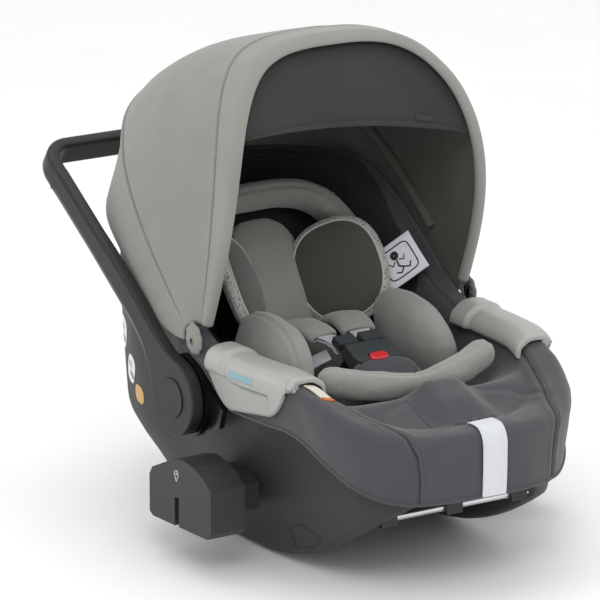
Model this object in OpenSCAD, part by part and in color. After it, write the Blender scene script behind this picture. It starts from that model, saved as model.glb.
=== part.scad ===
// Infant car seat with a rocker shell, a swinging carry handle, a folding hood,
// a sliding headrest and a five-strap harness. Millimetres, front towards -Y, up is +Z.

/* [Shell] */
// Width of the hard shell at its rim
shell_w = 372; // [360:2:376]
// Length from the handle axis forward to the nose of the shell
shell_front = 344; // [336:2:346]
// Length from the handle axis back to the rear wall
shell_back = 270; // [266:2:272]
// Height of the rim at the nose, beside the hips and behind the head
rim_heights = [184, 236, 386]; // three heights in order
// Wall thickness of the outer shell
shell_wall = 4; // [3:0.5:5]
// Half distance between the outer edges of the two rockers
rocker_x = 132; // [128:1:136]

/* [Cover] */
// Thickness of the padded seat cover
cover_t = 9; // [7:1:10]
// Thickness of the foam liner
liner_t = 22; // [18:1:24]

/* [Handle] */
// Height of the handle axis above the floor
hub_z = 184; // [182:1:186]
// Radius of the handle's round end
hub_r = 46; // [44:1:48]
// Slope of the handle arms at rest
arm_slope = 33.8; // [33:0.1:34.5]
// Radius of the steel hub pins
pin_r = 9; // [8:0.5:10]
// Travel of a handle release button
button_travel = 4; // [3:0.5:5]

/* [Hood] */
// Half width of the hood at its rear bow and at its front rim
hood_half_w = [199.3, 190]; // rear bow, front rim
// Height of the rear bow and of the front rim above the hood pivots
hood_radius = [366, 342]; // rear bow, front rim
// Thickness of the hood fabric as a solid
hood_t = 3; // [2.5:0.5:4]

/* [Base bar] */
// Radius of the steel base bar
bar_r = 5; // [4.5:0.5:6]

/* [Hidden] */

$fn = 64;
hub_y = 0;               // handle axis, measured along Y
base_y = 22.6;           // moves the middle of the seat's length onto the origin
gap = 0.6;               // clearance between soft layers
mid_y = -20;             // widest place of the shell
front_n = 3;             // roundness of the plan outline at the nose
back_n = 2.6;            // roundness of the plan outline at the back

// ---------- small helpers ----------
function unit(t) = max(0, min(1, t));
function ease(t) = let (u = unit(t)) u * u * (3 - 2 * u);
function mix(a, b, t) = a + (b - a) * t;
function steps(a, b, n) = [for (i = [0:n]) mix(a, b, i / n)];
function flip(path) = [for (i = [len(path) - 1:-1:0]) path[i]];
function quad(a, b, c, d) = [[a, b, c], [a, c, d]];
function root(v, n) = pow(max(0, v), 2 / n);

// Everything is drawn with the handle axis at y = 0 and then moved by base_y.
module placed() { translate([0, base_y, 0]) children(); }
// Runs a module on the left (-X) side or, mirrored, on the right side.
module on_side(right) { if (right) mirror([1, 0, 0]) children(); else children(); }

// A sheet between two families of paths. closed_ends pairs the left and right halves of the last
// paths, which shuts the sheet like the end of a tub; otherwise the ends are plain edges.
module band(outer, inner, closed_ends = false) {
  k = len(outer);
  n = len(outer[0]);
  pts = [for (i = [0:k - 1]) each concat(outer[i], inner[i])];
  function o(i, j) = i * 2 * n + j;
  function q(i, j) = i * 2 * n + n + j;
  half = floor(n / 2);
  skin = [for (i = [0:k - 2], j = [0:n - 2]) each concat(
    quad(o(i, j), o(i, j + 1), o(i + 1, j + 1), o(i + 1, j)),
    quad(q(i, j), q(i + 1, j), q(i + 1, j + 1), q(i, j + 1)))];
  edges = [for (i = [0:k - 2]) each concat(
    quad(o(i, 0), o(i + 1, 0), q(i + 1, 0), q(i, 0)),
    quad(o(i, n - 1), q(i, n - 1), q(i + 1, n - 1), o(i + 1, n - 1)))];
  open_caps = [for (j = [0:n - 2]) each concat(
    quad(o(0, j), q(0, j), q(0, j + 1), o(0, j + 1)),
    quad(o(k - 1, j), o(k - 1, j + 1), q(k - 1, j + 1), q(k - 1, j)))];
  function m(j) = n - 1 - j;
  shut = [for (j = [0:half - 2]) each concat(
    quad(o(0, j), o(0, m(j)), o(0, m(j + 1)), o(0, j + 1)),
    quad(q(0, j), q(0, j + 1), q(0, m(j + 1)), q(0, m(j))),
    quad(o(k - 1, j), o(k - 1, j + 1), o(k - 1, m(j + 1)), o(k - 1, m(j))),
    quad(q(k - 1, j), q(k - 1, m(j)), q(k - 1, m(j + 1)), q(k - 1, j + 1)))];
  tips = [
    [o(0, half - 1), o(0, half + 1), o(0, half)],
    [q(0, half - 1), q(0, half), q(0, half + 1)],
    [o(k - 1, half - 1), o(k - 1, half), o(k - 1, half + 1)],
    [q(k - 1, half - 1), q(k - 1, half + 1), q(k - 1, half)]];
  lips = concat(
    quad(o(0, 0), q(0, 0), q(0, n - 1), o(0, n - 1)),
    quad(o(k - 1, 0), o(k - 1, n - 1), q(k - 1, n - 1), q(k - 1, 0)));
  polyhedron(pts, concat(skin, edges, closed_ends ? concat(shut, tips, lips) : open_caps));
}

// A closed tube of rings, each a list of points in the same order.
module loft(rings) {
  k = len(rings);
  n = len(rings[0]);
  polyhedron(
    [for (r = rings) each r],
    concat(
      [for (i = [0:k - 2], j = [0:n - 1]) let (a = (j + 1) % n)
        each quad(i * n + j, i * n + a, (i + 1) * n + a, (i + 1) * n + j)],
      [for (j = [1:n - 2]) [0, j + 1, j]],
      [for (j = [1:n - 2]) [(k - 1) * n, (k - 1) * n + j, (k - 1) * n + j + 1]]));
}

// A cushion: a rounded block of the given full size, blunter as n grows.
module pad(size, n = 2.6, rings = 9, sides = 16) {
  loft([for (a = steps(-84, 84, rings)) let (s = root(cos(a), n), z = sign(a) * root(abs(sin(a)), n))
    [for (j = [0:sides - 1]) let (b = -360 * j / sides)
      [size[0] / 2 * s * sign(cos(b)) * root(abs(cos(b)), n),
       size[1] / 2 * s * sign(sin(b)) * root(abs(sin(b)), n),
       size[2] / 2 * z]]]);
}

// A round tube along points that lie in planes of constant tilt; up is any vector off the path.
function norm1(v) = v / norm(v);
function tangents(p) = let (n = len(p)) [for (i = [0:n - 1])
  norm1(p[min(n - 1, i + 1)] - p[max(0, i - 1)])];
module sweep(path, across, normal, round_n = 2, sides = 10) {
  t = tangents(path);
  loft([for (i = [0:len(path) - 1]) let (side = norm1(cross(t[i], normal)))
    [for (j = [0:sides - 1]) let (b = 360 * j / sides)
      path[i]
      + side * (across[0] / 2 * sign(cos(b)) * root(abs(cos(b)), round_n))
      + normal * (across[1] / 2 * sign(sin(b)) * root(abs(sin(b)), round_n))]]);
}

// ---------- tub: shell, liner and cover share one family of outlines ----------
tub_stations = concat([2.5, 6], steps(11, 169, 26), [174, 177.5]);
side_half_w = shell_w / 2;
function tub_y(a, grow = 0) = a < 90
  ? mid_y + (shell_back - mid_y + grow) * root(cos(a), back_n)
  : mid_y - (shell_front + mid_y + grow) * root(-cos(a), front_n);
function tub_w(a, grow = 0) = (side_half_w + grow) * root(sin(a), a < 90 ? back_n : front_n);
function rim_z(y) = mix(
  mix(rim_heights[0], rim_heights[1], ease((y + 345) / 165)), rim_heights[2], ease((y + 60) / 250));
// Lower edge of the shell: flat under the seat, curling up in front and sloping up behind.
flat_front = -60;
flat_back = 50;
function keel_z(y) = y < flat_front ? 106 * pow((flat_front - y) / 257, 2)
  : y < flat_back ? 0 : 0.031 * pow(y - flat_back, 1.65);
function belly_h(y) = 4 + 58 * ease((y + 335) / 80) * (1 - ease((y - 30) / 80));
function keel_w(w) = min(rocker_x, 0.9 * w);
function side_x(w, y, z) = let (t = unit((z - keel_z(y)) / (rim_z(y) - keel_z(y))))
  mix(keel_w(w), w, pow(t, 0.8));
// Seat surface of the liner along the middle, front to back.
seat_low = 126;
back_bend_y = 55;         // where the seat turns into the backrest
back_rise = 1.45;         // slope of the backrest
function seat_z(y) = let (r = rim_z(y), t = y - back_bend_y,
    thigh = mix(seat_low, r - 3, ease((-105 - y) / 190)),
    back = back_rise * (sqrt(t * t + 45 * 45) + t) / 2)
  min(r - 3, thigh + back);

half_side = [0, 0.15, 0.35, 0.6, 0.85, 1];
function shell_outer(a) = let (y = tub_y(a), w = tub_w(a), r = rim_z(y), k = keel_z(y), b = keel_w(w),
    right = concat(
      [for (t = flip(half_side)) [side_x(w, y, mix(k, r, t)), y, mix(k, r, t)]],
      [[b * 0.84, y, k + 0.6 * ease((abs(y + 5) - 90) / 120)],
       [b * 0.76, y, k + belly_h(y)], [b * 0.4, y, k + belly_h(y) + 1]]))
  concat([for (p = right) [-p[0], p[1], p[2]]], [[0, y, k + belly_h(y) + 2]], flip(right));
function shell_inner(a) = let (yo = tub_y(a), y = tub_y(a, -shell_wall), w = tub_w(a), r = rim_z(yo),
    k = keel_z(yo), f = k + belly_h(yo) + shell_wall + 1, b = keel_w(w),
    s = max(0.35, 1 - shell_wall / w),
    right = concat(
      [for (t = flip(half_side)) let (z = mix(f, r, t)) [side_x(w, yo, z) * s, y, z]],
      [[b * 0.7 * s, y, f + 0.6], [b * 0.55 * s, y, f + 1], [b * 0.3 * s, y, f + 1.5]]))
  concat([for (p = right) [-p[0], p[1], p[2]]], [[0, y, f + 2]], flip(right));

module outer_shell() {
  color("#4a4947") placed()
    band([for (a = tub_stations) flip(shell_outer(a))], [for (a = tub_stations) flip(shell_inner(a))], true);
}

// The bowl that the liner and the cover follow, from one rim across the seat to the other.
bowl_steps = steps(0, 90, 8);
function bowl(a, inset, drop) = let (y0 = tub_y(a), y = tub_y(a, -inset), w = tub_w(a),
    x0 = w * max(0.2, 1 - inset / w), top = rim_z(y0) - 1, low = min(top - 2, seat_z(y)) - drop,
    right = [for (s = bowl_steps) [x0 * root(cos(s), 3.2), y, mix(top, low, root(sin(s), 2.2))]])
  concat([for (i = [0:len(right) - 2]) [-right[i][0], right[i][1], right[i][2]]],
    [[0, y, low]], [for (i = [len(right) - 2:-1:0]) right[i]]);
liner_out = 13;
liner_in = liner_out + 8;
module seat_liner() {
  stations = [for (a = tub_stations) if (a > 5 && a < 175) a];
  color("#5b5c5e") placed()
    band([for (a = stations) flip(bowl(a, liner_out, liner_t))],
         [for (a = stations) flip(bowl(a, liner_in, gap))]);
}

// Lower edge of the cover outside the shell: low at the nose, lifted over the handle hub.
hub_clear = 57;
function cover_edge(y) = let (
    side = mix(108, 183, ease((y + 332) / 150)),
    lift = abs(y - hub_y + 8) < hub_clear ? hub_z + sqrt(pow(hub_clear, 2) - pow(y - hub_y + 8, 2)) - 2 : 0,
    back = rim_z(y) - 5)
  min(rim_z(y) - 4, max(side, lift, mix(side, back, ease((y + 30) / 60))));
cover_side = [0, 0.3, 0.6, 0.85, 1];
// The cover's face next to the seat (out = 0) or its outer face (out = 1).
function cover_path(a, out) = let (g = gap + out * cover_t, y0 = tub_y(a), w = tub_w(a), r = rim_z(y0),
    e = cover_edge(y0), yo = tub_y(a, g), x_in = w * max(0.2, 1 - (liner_in + g) / w),
    yi = tub_y(a, -liner_in - g), low = min(r - 3, seat_z(yi)) + g,
    over = [for (t = cover_side) let (z = mix(e, r, t)) [side_x(w, y0, z) + g, yo, z + (t == 1 ? g * 0.6 : 0)]],
    crest = [for (t = [0.3, 0.7]) [mix(w + g, x_in, t), mix(yo, yi, t), r + g * (out ? 1.25 : 1)]],
    bowl_part = [for (s = steps(0, 90, 8)) [x_in * root(cos(s), 3.2), yi, mix(r + g * 0.4, low, root(sin(s), 2.2))]],
    right = concat(over, crest, bowl_part))
  concat([for (i = [0:len(right) - 2]) [-right[i][0], right[i][1], right[i][2]]],
    [[0, yi, low]], [for (i = [len(right) - 2:-1:0]) right[i]]);
module seat_cover() {
  color("#55545a") placed()
    band([for (a = tub_stations) cover_path(a, 1)], [for (a = tub_stations) cover_path(a, 0)], true);
}

// ---------- base bar and adapters ----------
bar_y = -272;
bar_z = 84;
module base_bar() {
  color("#c9ccce") placed()
    translate([-112, bar_y, bar_z]) rotate([0, 90, 0]) cylinder(r = bar_r, h = 224);
}

clip_w = 22;
clip_x = [-92, 0, 92];
module bar_clips() {
  color("#1c1d1e") placed() for (x = clip_x) translate([x, bar_y, bar_z]) difference() {
    translate([-clip_w / 2, -9, -8]) cube([clip_w, 18, 26]);
    translate([-clip_w, 0, 0]) rotate([0, 90, 0]) cylinder(r = bar_r + 0.05, h = 2 * clip_w);
    translate([-clip_w, -3.5, -12]) cube([2 * clip_w, 7, 12]);
  }
}

adapter_x = [203, 250];     // inner and outer face of an adapter block
slot_y = -72;
slot_w = 9;
slot_top = 84;
adapter_outline = [[-12, 52], [-12, 98], [-18, 108], [-40, 118], [-62, 128], [-84, 133],
  [-108, 130], [-130, 121], [-146, 110], [-146, 58], [-138, 50], [-20, 48]];
neck_outline = [[-30, 62], [-30, 96], [-50, 106], [-96, 106], [-112, 98], [-112, 66]];
module adapter(right) {
  color("#333433") placed() on_side(right) difference() {
    union() {
      translate([-adapter_x[1], 0, 0]) rotate([90, 0, 90])
        linear_extrude(adapter_x[1] - adapter_x[0]) polygon(adapter_outline);
      translate([-adapter_x[0] - 1, 0, 0]) rotate([90, 0, 90])
        linear_extrude(adapter_x[0] - 160) polygon(neck_outline);
    }
    translate([-adapter_x[1] - 1, slot_y - slot_w / 2, 30])
      cube([adapter_x[1] - adapter_x[0] - 8, slot_w, slot_top - 30]);
  }
}
module adapter_left() { adapter(false); }
module adapter_right() { adapter(true); }

// ---------- belt guides: saddles over the rim ----------
guide_y = [-212, -88];
guide_t = 5;
function guide_ring(y, out) = let (g = gap + cover_t + 2.3 + out * guide_t, w = side_half_w
      * pow(1 - pow(abs(y - mid_y) / (shell_front + mid_y), front_n), 1 / front_n), r = rim_z(y),
    e = mix(196, 204, ease((guide_y[1] - y) / 90)), x_in = w - liner_in - g,
    end = min(y - guide_y[0], guide_y[1] - y), tuck = 12 * (1 - ease(end / 26)))
  concat(
    [for (t = [0, 0.4, 0.8]) let (z = mix(e + tuck, r, t)) [-side_x(w, y, z) - g, y, z]],
    [[-w - g + 1.5, y, r + g * 0.62], [-mix(w + g, x_in, 0.25), y, r + g * 1.12],
     [-mix(w + g, x_in, 0.5), y, r + g * 1.3], [-mix(w + g, x_in, 0.78), y, r + g * 1.12]],
    [for (t = [0.05, 0.16]) [-x_in + 3 + t * 10, y, mix(r + g * 0.4, r - 40, t)]]);
module belt_guide(right) {
  ys = steps(guide_y[0], guide_y[1], 14);
  color("#b9bbb5") placed() on_side(right)
    band([for (y = ys) flip(guide_ring(y, 1))], [for (y = ys) flip(guide_ring(y, 0))]);
}
module belt_guide_left() { belt_guide(false); }
module belt_guide_right() { belt_guide(true); }

// ---------- handle hubs, arms, grip and release buttons ----------
hub_at = [hub_y - 8, hub_z];
arm_x = [200, 216];          // inner and outer face of a handle arm
base_x = side_half_w + 1.5;  // inner face of the hub base
button_r = 24;
module disc(x0, x1, r) { translate([-x1, hub_at[0], hub_at[1]]) rotate([0, 90, 0]) cylinder(r = r, h = x1 - x0); }
module hub_base(right) {
  color("#1a1c1c") placed() on_side(right) difference() {
    union() {
      disc(base_x, arm_x[0] - 0.6, 50);
      translate([-arm_x[0] + 5, 0, 0]) rotate([90, 0, 90]) linear_extrude(arm_x[0] - 5 - base_x)
        polygon([[-50, 205], [-86, 184], [-78, 160], [-40, 145]]);
    }
    disc(base_x - 5, arm_x[0] + 5, pin_r);
  }
}
module hub_base_left() { hub_base(false); }
module hub_base_right() { hub_base(true); }

module hub_pin(right) { color("#b5b8ba") placed() on_side(right) disc(base_x, arm_x[1] - 7, pin_r); }
module hub_pin_left() { hub_pin(false); }
module hub_pin_right() { hub_pin(true); }

// A notched ring sunk in the hub base, which the release button's teeth free.
module lock_ring(right) {
  color("#8a8d8f") placed() on_side(right) difference() {
    disc(arm_x[0], arm_x[0] + 5, 30);
    disc(arm_x[0] - 1, arm_x[0] + 6, 20);
    for (a = [0:45:315]) translate([-arm_x[0] - 6, hub_at[0], hub_at[1]]) rotate([a, 0, 0])
      translate([0, 25, -2]) cube([8, 8, 4]);
  }
}
module lock_ring_left() { lock_ring(false); }
module lock_ring_right() { lock_ring(true); }

// The arm's centre line starts at (arm_y0, arm_z0) and runs along arm_slope.
arm_w = 34;
arm_y0 = 175.5;
arm_z0 = 334;
arm_end = 105;               // where the arms meet the grip, along the slope
grip_end = 147;              // middle of the grip bar, along the slope
along = [cos(arm_slope), sin(arm_slope)];
function arm_at(s, off) = [arm_y0 + s * along[0] - off * along[1], arm_z0 + s * along[1] + off * along[0]];
arm_outline = concat(
  [[34, 178], [44, 199], [62, 228], [88, 251], [117, 272]],
  [arm_at(arm_end, -arm_w / 2), arm_at(arm_end, arm_w / 2)],
  [[141, 333], [100, 306], [66, 281], [34, 255], [4, 236], [-20, 228]]);
module handle_arm(right) {
  color("#3f3e3c") placed() on_side(right) difference() {
    translate([-arm_x[1], 0, 0]) rotate([90, 0, 90]) linear_extrude(arm_x[1] - arm_x[0]) union() {
      translate(hub_at) circle(r = hub_r);
      polygon(arm_outline);
    }
    disc(arm_x[0] - 1, arm_x[1] - 6.9, pin_r + 0.05);
    disc(arm_x[0] - 1, arm_x[0] + 5.4, 30.4);
    disc(arm_x[1] - button_travel - 2.5, arm_x[1] + 1, button_r + 0.4);
  }
}
module handle_arm_left() { handle_arm(false); }
module handle_arm_right() { handle_arm(true); }

corner_r = 30;
module handle_grip() {
  x = (arm_x[0] + arm_x[1]) / 2;
  turn = [for (a = steps(0, 90, 7)) [x - corner_r * (1 - cos(a)), grip_end - corner_r + corner_r * sin(a)]];
  half = concat([[x, arm_end + 0.02]], turn);
  plan = concat([for (p = half) [-p[0], p[1]]], flip(half));
  path = [for (p = plan) let (c = arm_at(p[1], 0)) [p[0], c[0], c[1]]];
  color("#3f3e3c") placed()
    sweep(path, [arm_x[1] - arm_x[0], arm_w - 1], [0, -along[1], along[0]], 4.5, 16);
}

module handle_button(right) {
  color("#45433f") placed() on_side(right) disc(arm_x[1] - 2.5, arm_x[1] + 1.5, button_r);
}
module handle_button_left() { handle_button(false); }
module handle_button_right() { handle_button(true); }

// ---------- hood ----------
pivot = [-28, 256];
tip_r = 16;                  // where the bows start, beside the pivots
rear_phi = 22;               // slope of the hood's rear edge, before it drops towards the pivots
bow_phi = 43;                // plane of the rear bow
hood_edge_h = 344;           // height of the rear edge above the pivots, along its plane
bow_u = 0.25;                // place of the rear bow from rear edge to front rim
function rim_phi(rho) = 112 - 26 * pow(rho / 345, 2.2);
function edge_phi(rho) = rear_phi - 36 * pow(1 - unit(rho / 200), 1.5);
function hood_phi(u, rho) = u < bow_u ? mix(edge_phi(rho), bow_phi, u / bow_u)
  : mix(bow_phi, rim_phi(rho), (u - bow_u) / (1 - bow_u));
function hood_w(u) = mix(hood_half_w[0], hood_half_w[1], ease((u - bow_u) / (1 - bow_u)));
function hood_h(u) = mix(mix(hood_edge_h, hood_radius[0], pow(unit(u / bow_u), 2)), hood_radius[1],
  ease((u - bow_u) / (1 - bow_u)));
function hood_n(u) = mix(3.1, 3.3, u);
// A point of the hood at u from rear edge to rim, t across from -90 (left tip) to 90 (right tip).
function hood_point(u, t, inset = 0) = let (n = hood_n(u),
    x = (hood_w(u) - inset) * sign(t) * root(abs(sin(t)), n),
    rho = tip_r + (hood_h(u) - tip_r - inset) * root(cos(t), n), f = hood_phi(u, rho))
  [x, pivot[0] + rho * cos(f), pivot[1] + rho * sin(f)];
hood_t_steps = concat([-89.7, -88, -83, -75], steps(-65, 65, 14), [75, 83, 88, 89.7]);
function hood_ring(u, inset) = [for (t = hood_t_steps) hood_point(u, t, inset)];
module hood_sheet(u0, u1, n, t0 = 0, t1 = hood_t) {
  us = steps(u0, u1, n);
  placed() band([for (u = us) hood_ring(u, t0)], [for (u = us) hood_ring(u, t1)]);
}
seam_u = 0.9;
hem_u = 0.965;
module hood_fabric() { color("#969590") hood_sheet(0, seam_u - 0.003, 14); }
module hood_front_band() { color("#9b9a95") hood_sheet(seam_u + 0.003, hem_u - 0.002, 2); }
module hood_rim() { color("#a3a29c") hood_sheet(hem_u, 1, 2, 0, 9); }
module hood_rear_bow() {
  path = [for (t = steps(-82, 82, 22)) hood_point(bow_u, t, hood_t + 3.5)];
  color("#2b2c2d") placed() sweep(path, [4, 4], [0, -sin(bow_phi), cos(bow_phi)], 2, 8);
}

// Sun flap hanging in the front rim, from the hem down to a gently arched lower edge.
flap_low = 240;
module hood_valance() {
  xs = steps(-158, 158, 18);
  n = hood_n(1);
  w = hood_half_w[1] - 11;
  h = hood_radius[1] - 11;
  function top(x) = tip_r + (h - tip_r) * pow(1 - pow(abs(x) / w, n), 1 / n) - 1;
  function at(x, v, f) = let (low = flap_low - 14 * pow(x / 158, 2), rho = mix(low, top(x), v),
      a = rim_phi(rho) - 2.2 - f) [x, pivot[0] + rho * cos(a), pivot[1] + rho * sin(a)];
  color("#3f3f3f") placed() band(
    [for (x = xs) [for (v = steps(0, 1, 5)) at(x, v, 0)]],
    [for (x = xs) [for (v = steps(0, 1, 5)) at(x, v, 0.5)]]);
}

module hood_clip(right) {
  color("#161717") placed() on_side(right)
    translate([-199.4, pivot[0], pivot[1]]) rotate([0, 90, 0]) cylinder(r = 11, h = 3.2);
}
module hood_clip_left() { hood_clip(false); }
module hood_clip_right() { hood_clip(true); }

// ---------- headrest: slides along the backrest ----------
back_a = atan(back_rise);
rest_at = [150, 281];        // point of the backrest surface that the headrest is placed from
module on_back() {
  placed() translate([0, rest_at[0], rest_at[1]]) rotate([back_a, 0, 0]) children();
}
module headrest_board() {
  color("#2a2b2c") on_back() difference() {
    translate([-88, -92, 14]) cube([176, 160, 6]);
    for (x = [-34, 34]) translate([x - 22, -70, 10]) cube([44, 10, 14]);
  }
}
halo_w = 111;
module headrest_pad() {
  path = [for (t = steps(-88, 88, 20)) [halo_w * sign(t) * root(abs(sin(t)), 3), -56 + 123 * root(cos(t), 3), 52.8]];
  color("#8b8a85") on_back() sweep(path, [32, 48], [0, 0, 1], 3, 14);
}
module head_centre_pad() {
  color("#8f8e89") on_back() translate([0, -24, 33]) pad([74, 146, 22], 3, 9, 16);
}
module head_wing(right) {
  color("#5f5e59") on_back() on_side(right)
    translate([-77, -35, 72]) rotate([0, 48, 0]) pad([110, 126, 29], 2.4, 9, 18);
}
module head_wing_left() { head_wing(false); }
module head_wing_right() { head_wing(true); }

// ---------- newborn insert ----------
module insert_back() {
  color("#8b8a85") on_back() translate([0, -134, 31.8]) pad([132, 66, 22], 3, 7, 16);
}
module insert_seat() {
  color("#85847f") placed() translate([0, -56, 163]) rotate([3, 0, 0]) pad([136, 116, 22], 3, 7, 16);
}
module insert_bolster(right) {
  color("#8b8a85") placed() on_side(right)
    translate([-101, -52, 220]) rotate([4, 10, 0]) rotate([0, 90, 0]) pad([106, 156, 60], 2.3, 9, 18);
}
module insert_bolster_left() { insert_bolster(false); }
module insert_bolster_right() { insert_bolster(true); }
module insert_front_roll() {
  path = [for (x = steps(-116, 116, 12)) [x, -203 + 26 * pow(x / 116, 2), 214.5 + 17 * pow(x / 116, 2)]];
  color("#8b8a85") placed() sweep(path, [34, 36], [0, 0, 1], 2.2, 12);
}

// ---------- harness ----------
buckle_at = [0, -108, 214];
buckle_tilt = 24;
module on_buckle() { placed() translate(buckle_at) rotate([buckle_tilt, 0, 0]) children(); }
module buckle_body() {
  color("#4d5052") on_buckle() difference() {
    translate([0, 0, 2]) linear_extrude(17) polygon([[-30, 22], [-32, -4], [-22, -24], [22, -24], [32, -4], [30, 22]]);
    translate([-27, 6, 6]) cube([25, 20, 9]);
    translate([2, 6, 6]) cube([25, 20, 9]);
    translate([0, -8, 12]) linear_extrude(12) square([25, 14], center = true);
  }
}
module buckle_button() {
  color("#d84c50") on_buckle() translate([0, -8, 15]) linear_extrude(7) square([24.2, 13.2], center = true);
}
module buckle_tongue(right) {
  color("#54585b") on_buckle() on_side(right) union() {
    translate([-25, 7, 8]) cube([21, 22, 5]);
    translate([-31, 29, 5]) cube([27, 16, 9]);
  }
}
module buckle_tongue_left() { buckle_tongue(false); }
module buckle_tongue_right() { buckle_tongue(true); }
module crotch_pad() {
  color("#4f4e53") placed() translate([0, -136, 190]) rotate([buckle_tilt, 0, 0]) pad([70, 84, 24], 3, 7, 14);
}

strap_w = 25;
strap_t = 2;
module strap(path, normal = [0, 0, 1]) { sweep(path, [strap_w, strap_t], normal, 6, 12); }
module shoulder_strap(right) {
  color("#6c6e70") placed() on_side(right) strap([[-19, -60, 232], [-24, -46, 236]]);
}
module shoulder_strap_left() { shoulder_strap(false); }
module shoulder_strap_right() { shoulder_strap(true); }
module shoulder_pad(right) {
  path = [[-25, -44, 236], [-28, -28, 241], [-32, -8, 243], [-35, 12, 238], [-36, 30, 230]];
  color("#8b8a85") placed() on_side(right) sweep(path, [46, 15], [0, 0.1, 0.995], 3, 12);
}
module shoulder_pad_left() { shoulder_pad(false); }
module shoulder_pad_right() { shoulder_pad(true); }
module lap_strap(right) {
  path = [[-32, -64, 220], [-44, -58, 214], [-58, -50, 204]];
  color("#c9cbd0") placed() on_side(right) strap(path, norm1([-0.5, 0, 0.86]));
}
module lap_strap_left() { lap_strap(false); }
module lap_strap_right() { lap_strap(true); }

// ---------- harness adjuster at the nose ----------
adjuster_y = -262;
function cover_top(y) = seat_z(y) + gap + cover_t;
module adjuster_housing() {
  color("#2b2c2e") placed() translate([0, adjuster_y, cover_top(adjuster_y) + 0.4]) difference() {
    translate([-24, -16, 0]) cube([48, 32, 5]);
    translate([-15, -9, 1]) cube([30, 18, 6]);
  }
}
module adjuster_button() {
  color("#3a3b3d") placed() translate([0, adjuster_y, cover_top(adjuster_y) + 0.4])
    translate([-14.6, -8.6, 4]) cube([29.2, 17.2, 3]);
}
module adjuster_strap() {
  nose = -shell_front - gap - cover_t - 1.8;
  top = cover_top(-300) + 8;
  path = [[0, -290, cover_top(-290) + 2], [0, -312, top + 1], [0, -334, top - 2], [0, nose + 4, top - 9],
    [0, nose, top - 22], [0, nose, 150], [0, nose, 108]];
  color("#d5d7dc") placed() sweep(path, [strap_t, strap_w + 7], [1, 0, 0], 6, 12);
}

// ---------- sewn-in tags ----------
module care_label() {
  color("#e4e4e8") placed() translate([134, 38, 303]) rotate([0, 62, 8]) cube([52, 58, 1.2], center = true);
}
module side_tag() {
  color("#e6dcc8") placed() translate([-119, -214, 241]) rotate([0, -50, 14]) cube([30, 14, 1.2], center = true);
}

outer_shell();
seat_liner();
seat_cover();
base_bar();
bar_clips();
adapter_left();
adapter_right();
belt_guide_left();
belt_guide_right();
hub_base_left();
hub_base_right();
hub_pin_left();
hub_pin_right();
lock_ring_left();
lock_ring_right();
handle_arm_left();
handle_arm_right();
handle_grip();
handle_button_left();
handle_button_right();
hood_fabric();
hood_rear_bow();
hood_front_band();
hood_rim();
hood_valance();
hood_clip_left();
hood_clip_right();
headrest_board();
headrest_pad();
head_centre_pad();
head_wing_left();
head_wing_right();
insert_back();
insert_seat();
insert_bolster_left();
insert_bolster_right();
insert_front_roll();
shoulder_strap_left();
shoulder_strap_right();
shoulder_pad_left();
shoulder_pad_right();
buckle_body();
buckle_button();
buckle_tongue_left();
buckle_tongue_right();
crotch_pad();
lap_strap_left();
lap_strap_right();
adjuster_housing();
adjuster_button();
adjuster_strap();
care_label();
side_tag();
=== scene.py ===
"""Infant car seat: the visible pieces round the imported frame.

Lengths are millimetres, with the front towards -Y and the floor at z = 0, until make() adds BASE_Y
to every y and turns them into metres.
"""
import math

import bpy
import numpy as np
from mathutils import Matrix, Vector
from mathutils.bvhtree import BVHTree
from mathutils.kdtree import KDTree


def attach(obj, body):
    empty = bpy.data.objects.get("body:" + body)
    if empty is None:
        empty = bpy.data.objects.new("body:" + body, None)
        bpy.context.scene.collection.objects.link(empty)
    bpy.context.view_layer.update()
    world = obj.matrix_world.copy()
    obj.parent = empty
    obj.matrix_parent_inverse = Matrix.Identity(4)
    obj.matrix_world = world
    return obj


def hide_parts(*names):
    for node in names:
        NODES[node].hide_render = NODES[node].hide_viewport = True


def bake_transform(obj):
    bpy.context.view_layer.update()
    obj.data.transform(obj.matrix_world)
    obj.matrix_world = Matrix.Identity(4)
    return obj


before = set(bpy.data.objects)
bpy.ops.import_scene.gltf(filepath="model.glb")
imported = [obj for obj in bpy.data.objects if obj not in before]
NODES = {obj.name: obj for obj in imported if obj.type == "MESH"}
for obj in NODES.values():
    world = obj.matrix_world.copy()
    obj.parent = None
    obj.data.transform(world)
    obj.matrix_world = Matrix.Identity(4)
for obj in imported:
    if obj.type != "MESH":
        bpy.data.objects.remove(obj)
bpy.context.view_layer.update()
BASE_Y = 22.6          # added to every y, to centre the object on the origin
SEAT = "seat"
SIDES = ((-1, "left"), (1, "right"))


# ---------- numbers and curves ----------
def ease(t):
    t = np.clip(t, 0, 1)
    return t * t * (3 - 2 * t)


def mix(a, b, t):
    return a + (b - a) * t


def root(v, n):
    return np.maximum(0, v) ** (2 / n)


def power(v, n):
    """The same root for either sign, for rounded squares."""
    return np.sign(v) * root(np.abs(v), n)


def around(count):
    return np.linspace(0, 2 * math.pi, count, endpoint=False)


def oval(half_w, half_h, n, a, m=None):
    """Points of a rounded rectangle at the angles a."""
    return np.stack([half_w * power(np.cos(a), n), half_h * power(np.sin(a), m or n)], 1)


def bump(d, width):
    return np.exp(-((d / width) ** 2))


def wobble(p, wave, seed=0.0):
    """Smooth noise from -1 to 1 with features about wave millimetres wide."""
    k = 2 * math.pi / wave
    x, y, z = p[..., 0] * k, p[..., 1] * k, p[..., 2] * k
    return (np.sin(x * 0.9 + 1.7 * np.sin(y * 0.7 + seed) + seed)
            + np.sin(y * 1.1 + 1.3 * np.sin(z * 0.8 - seed) + 2 * seed)
            + np.sin(z + 1.1 * np.sin(x * 0.6 + 3 * seed))) / 3


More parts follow.
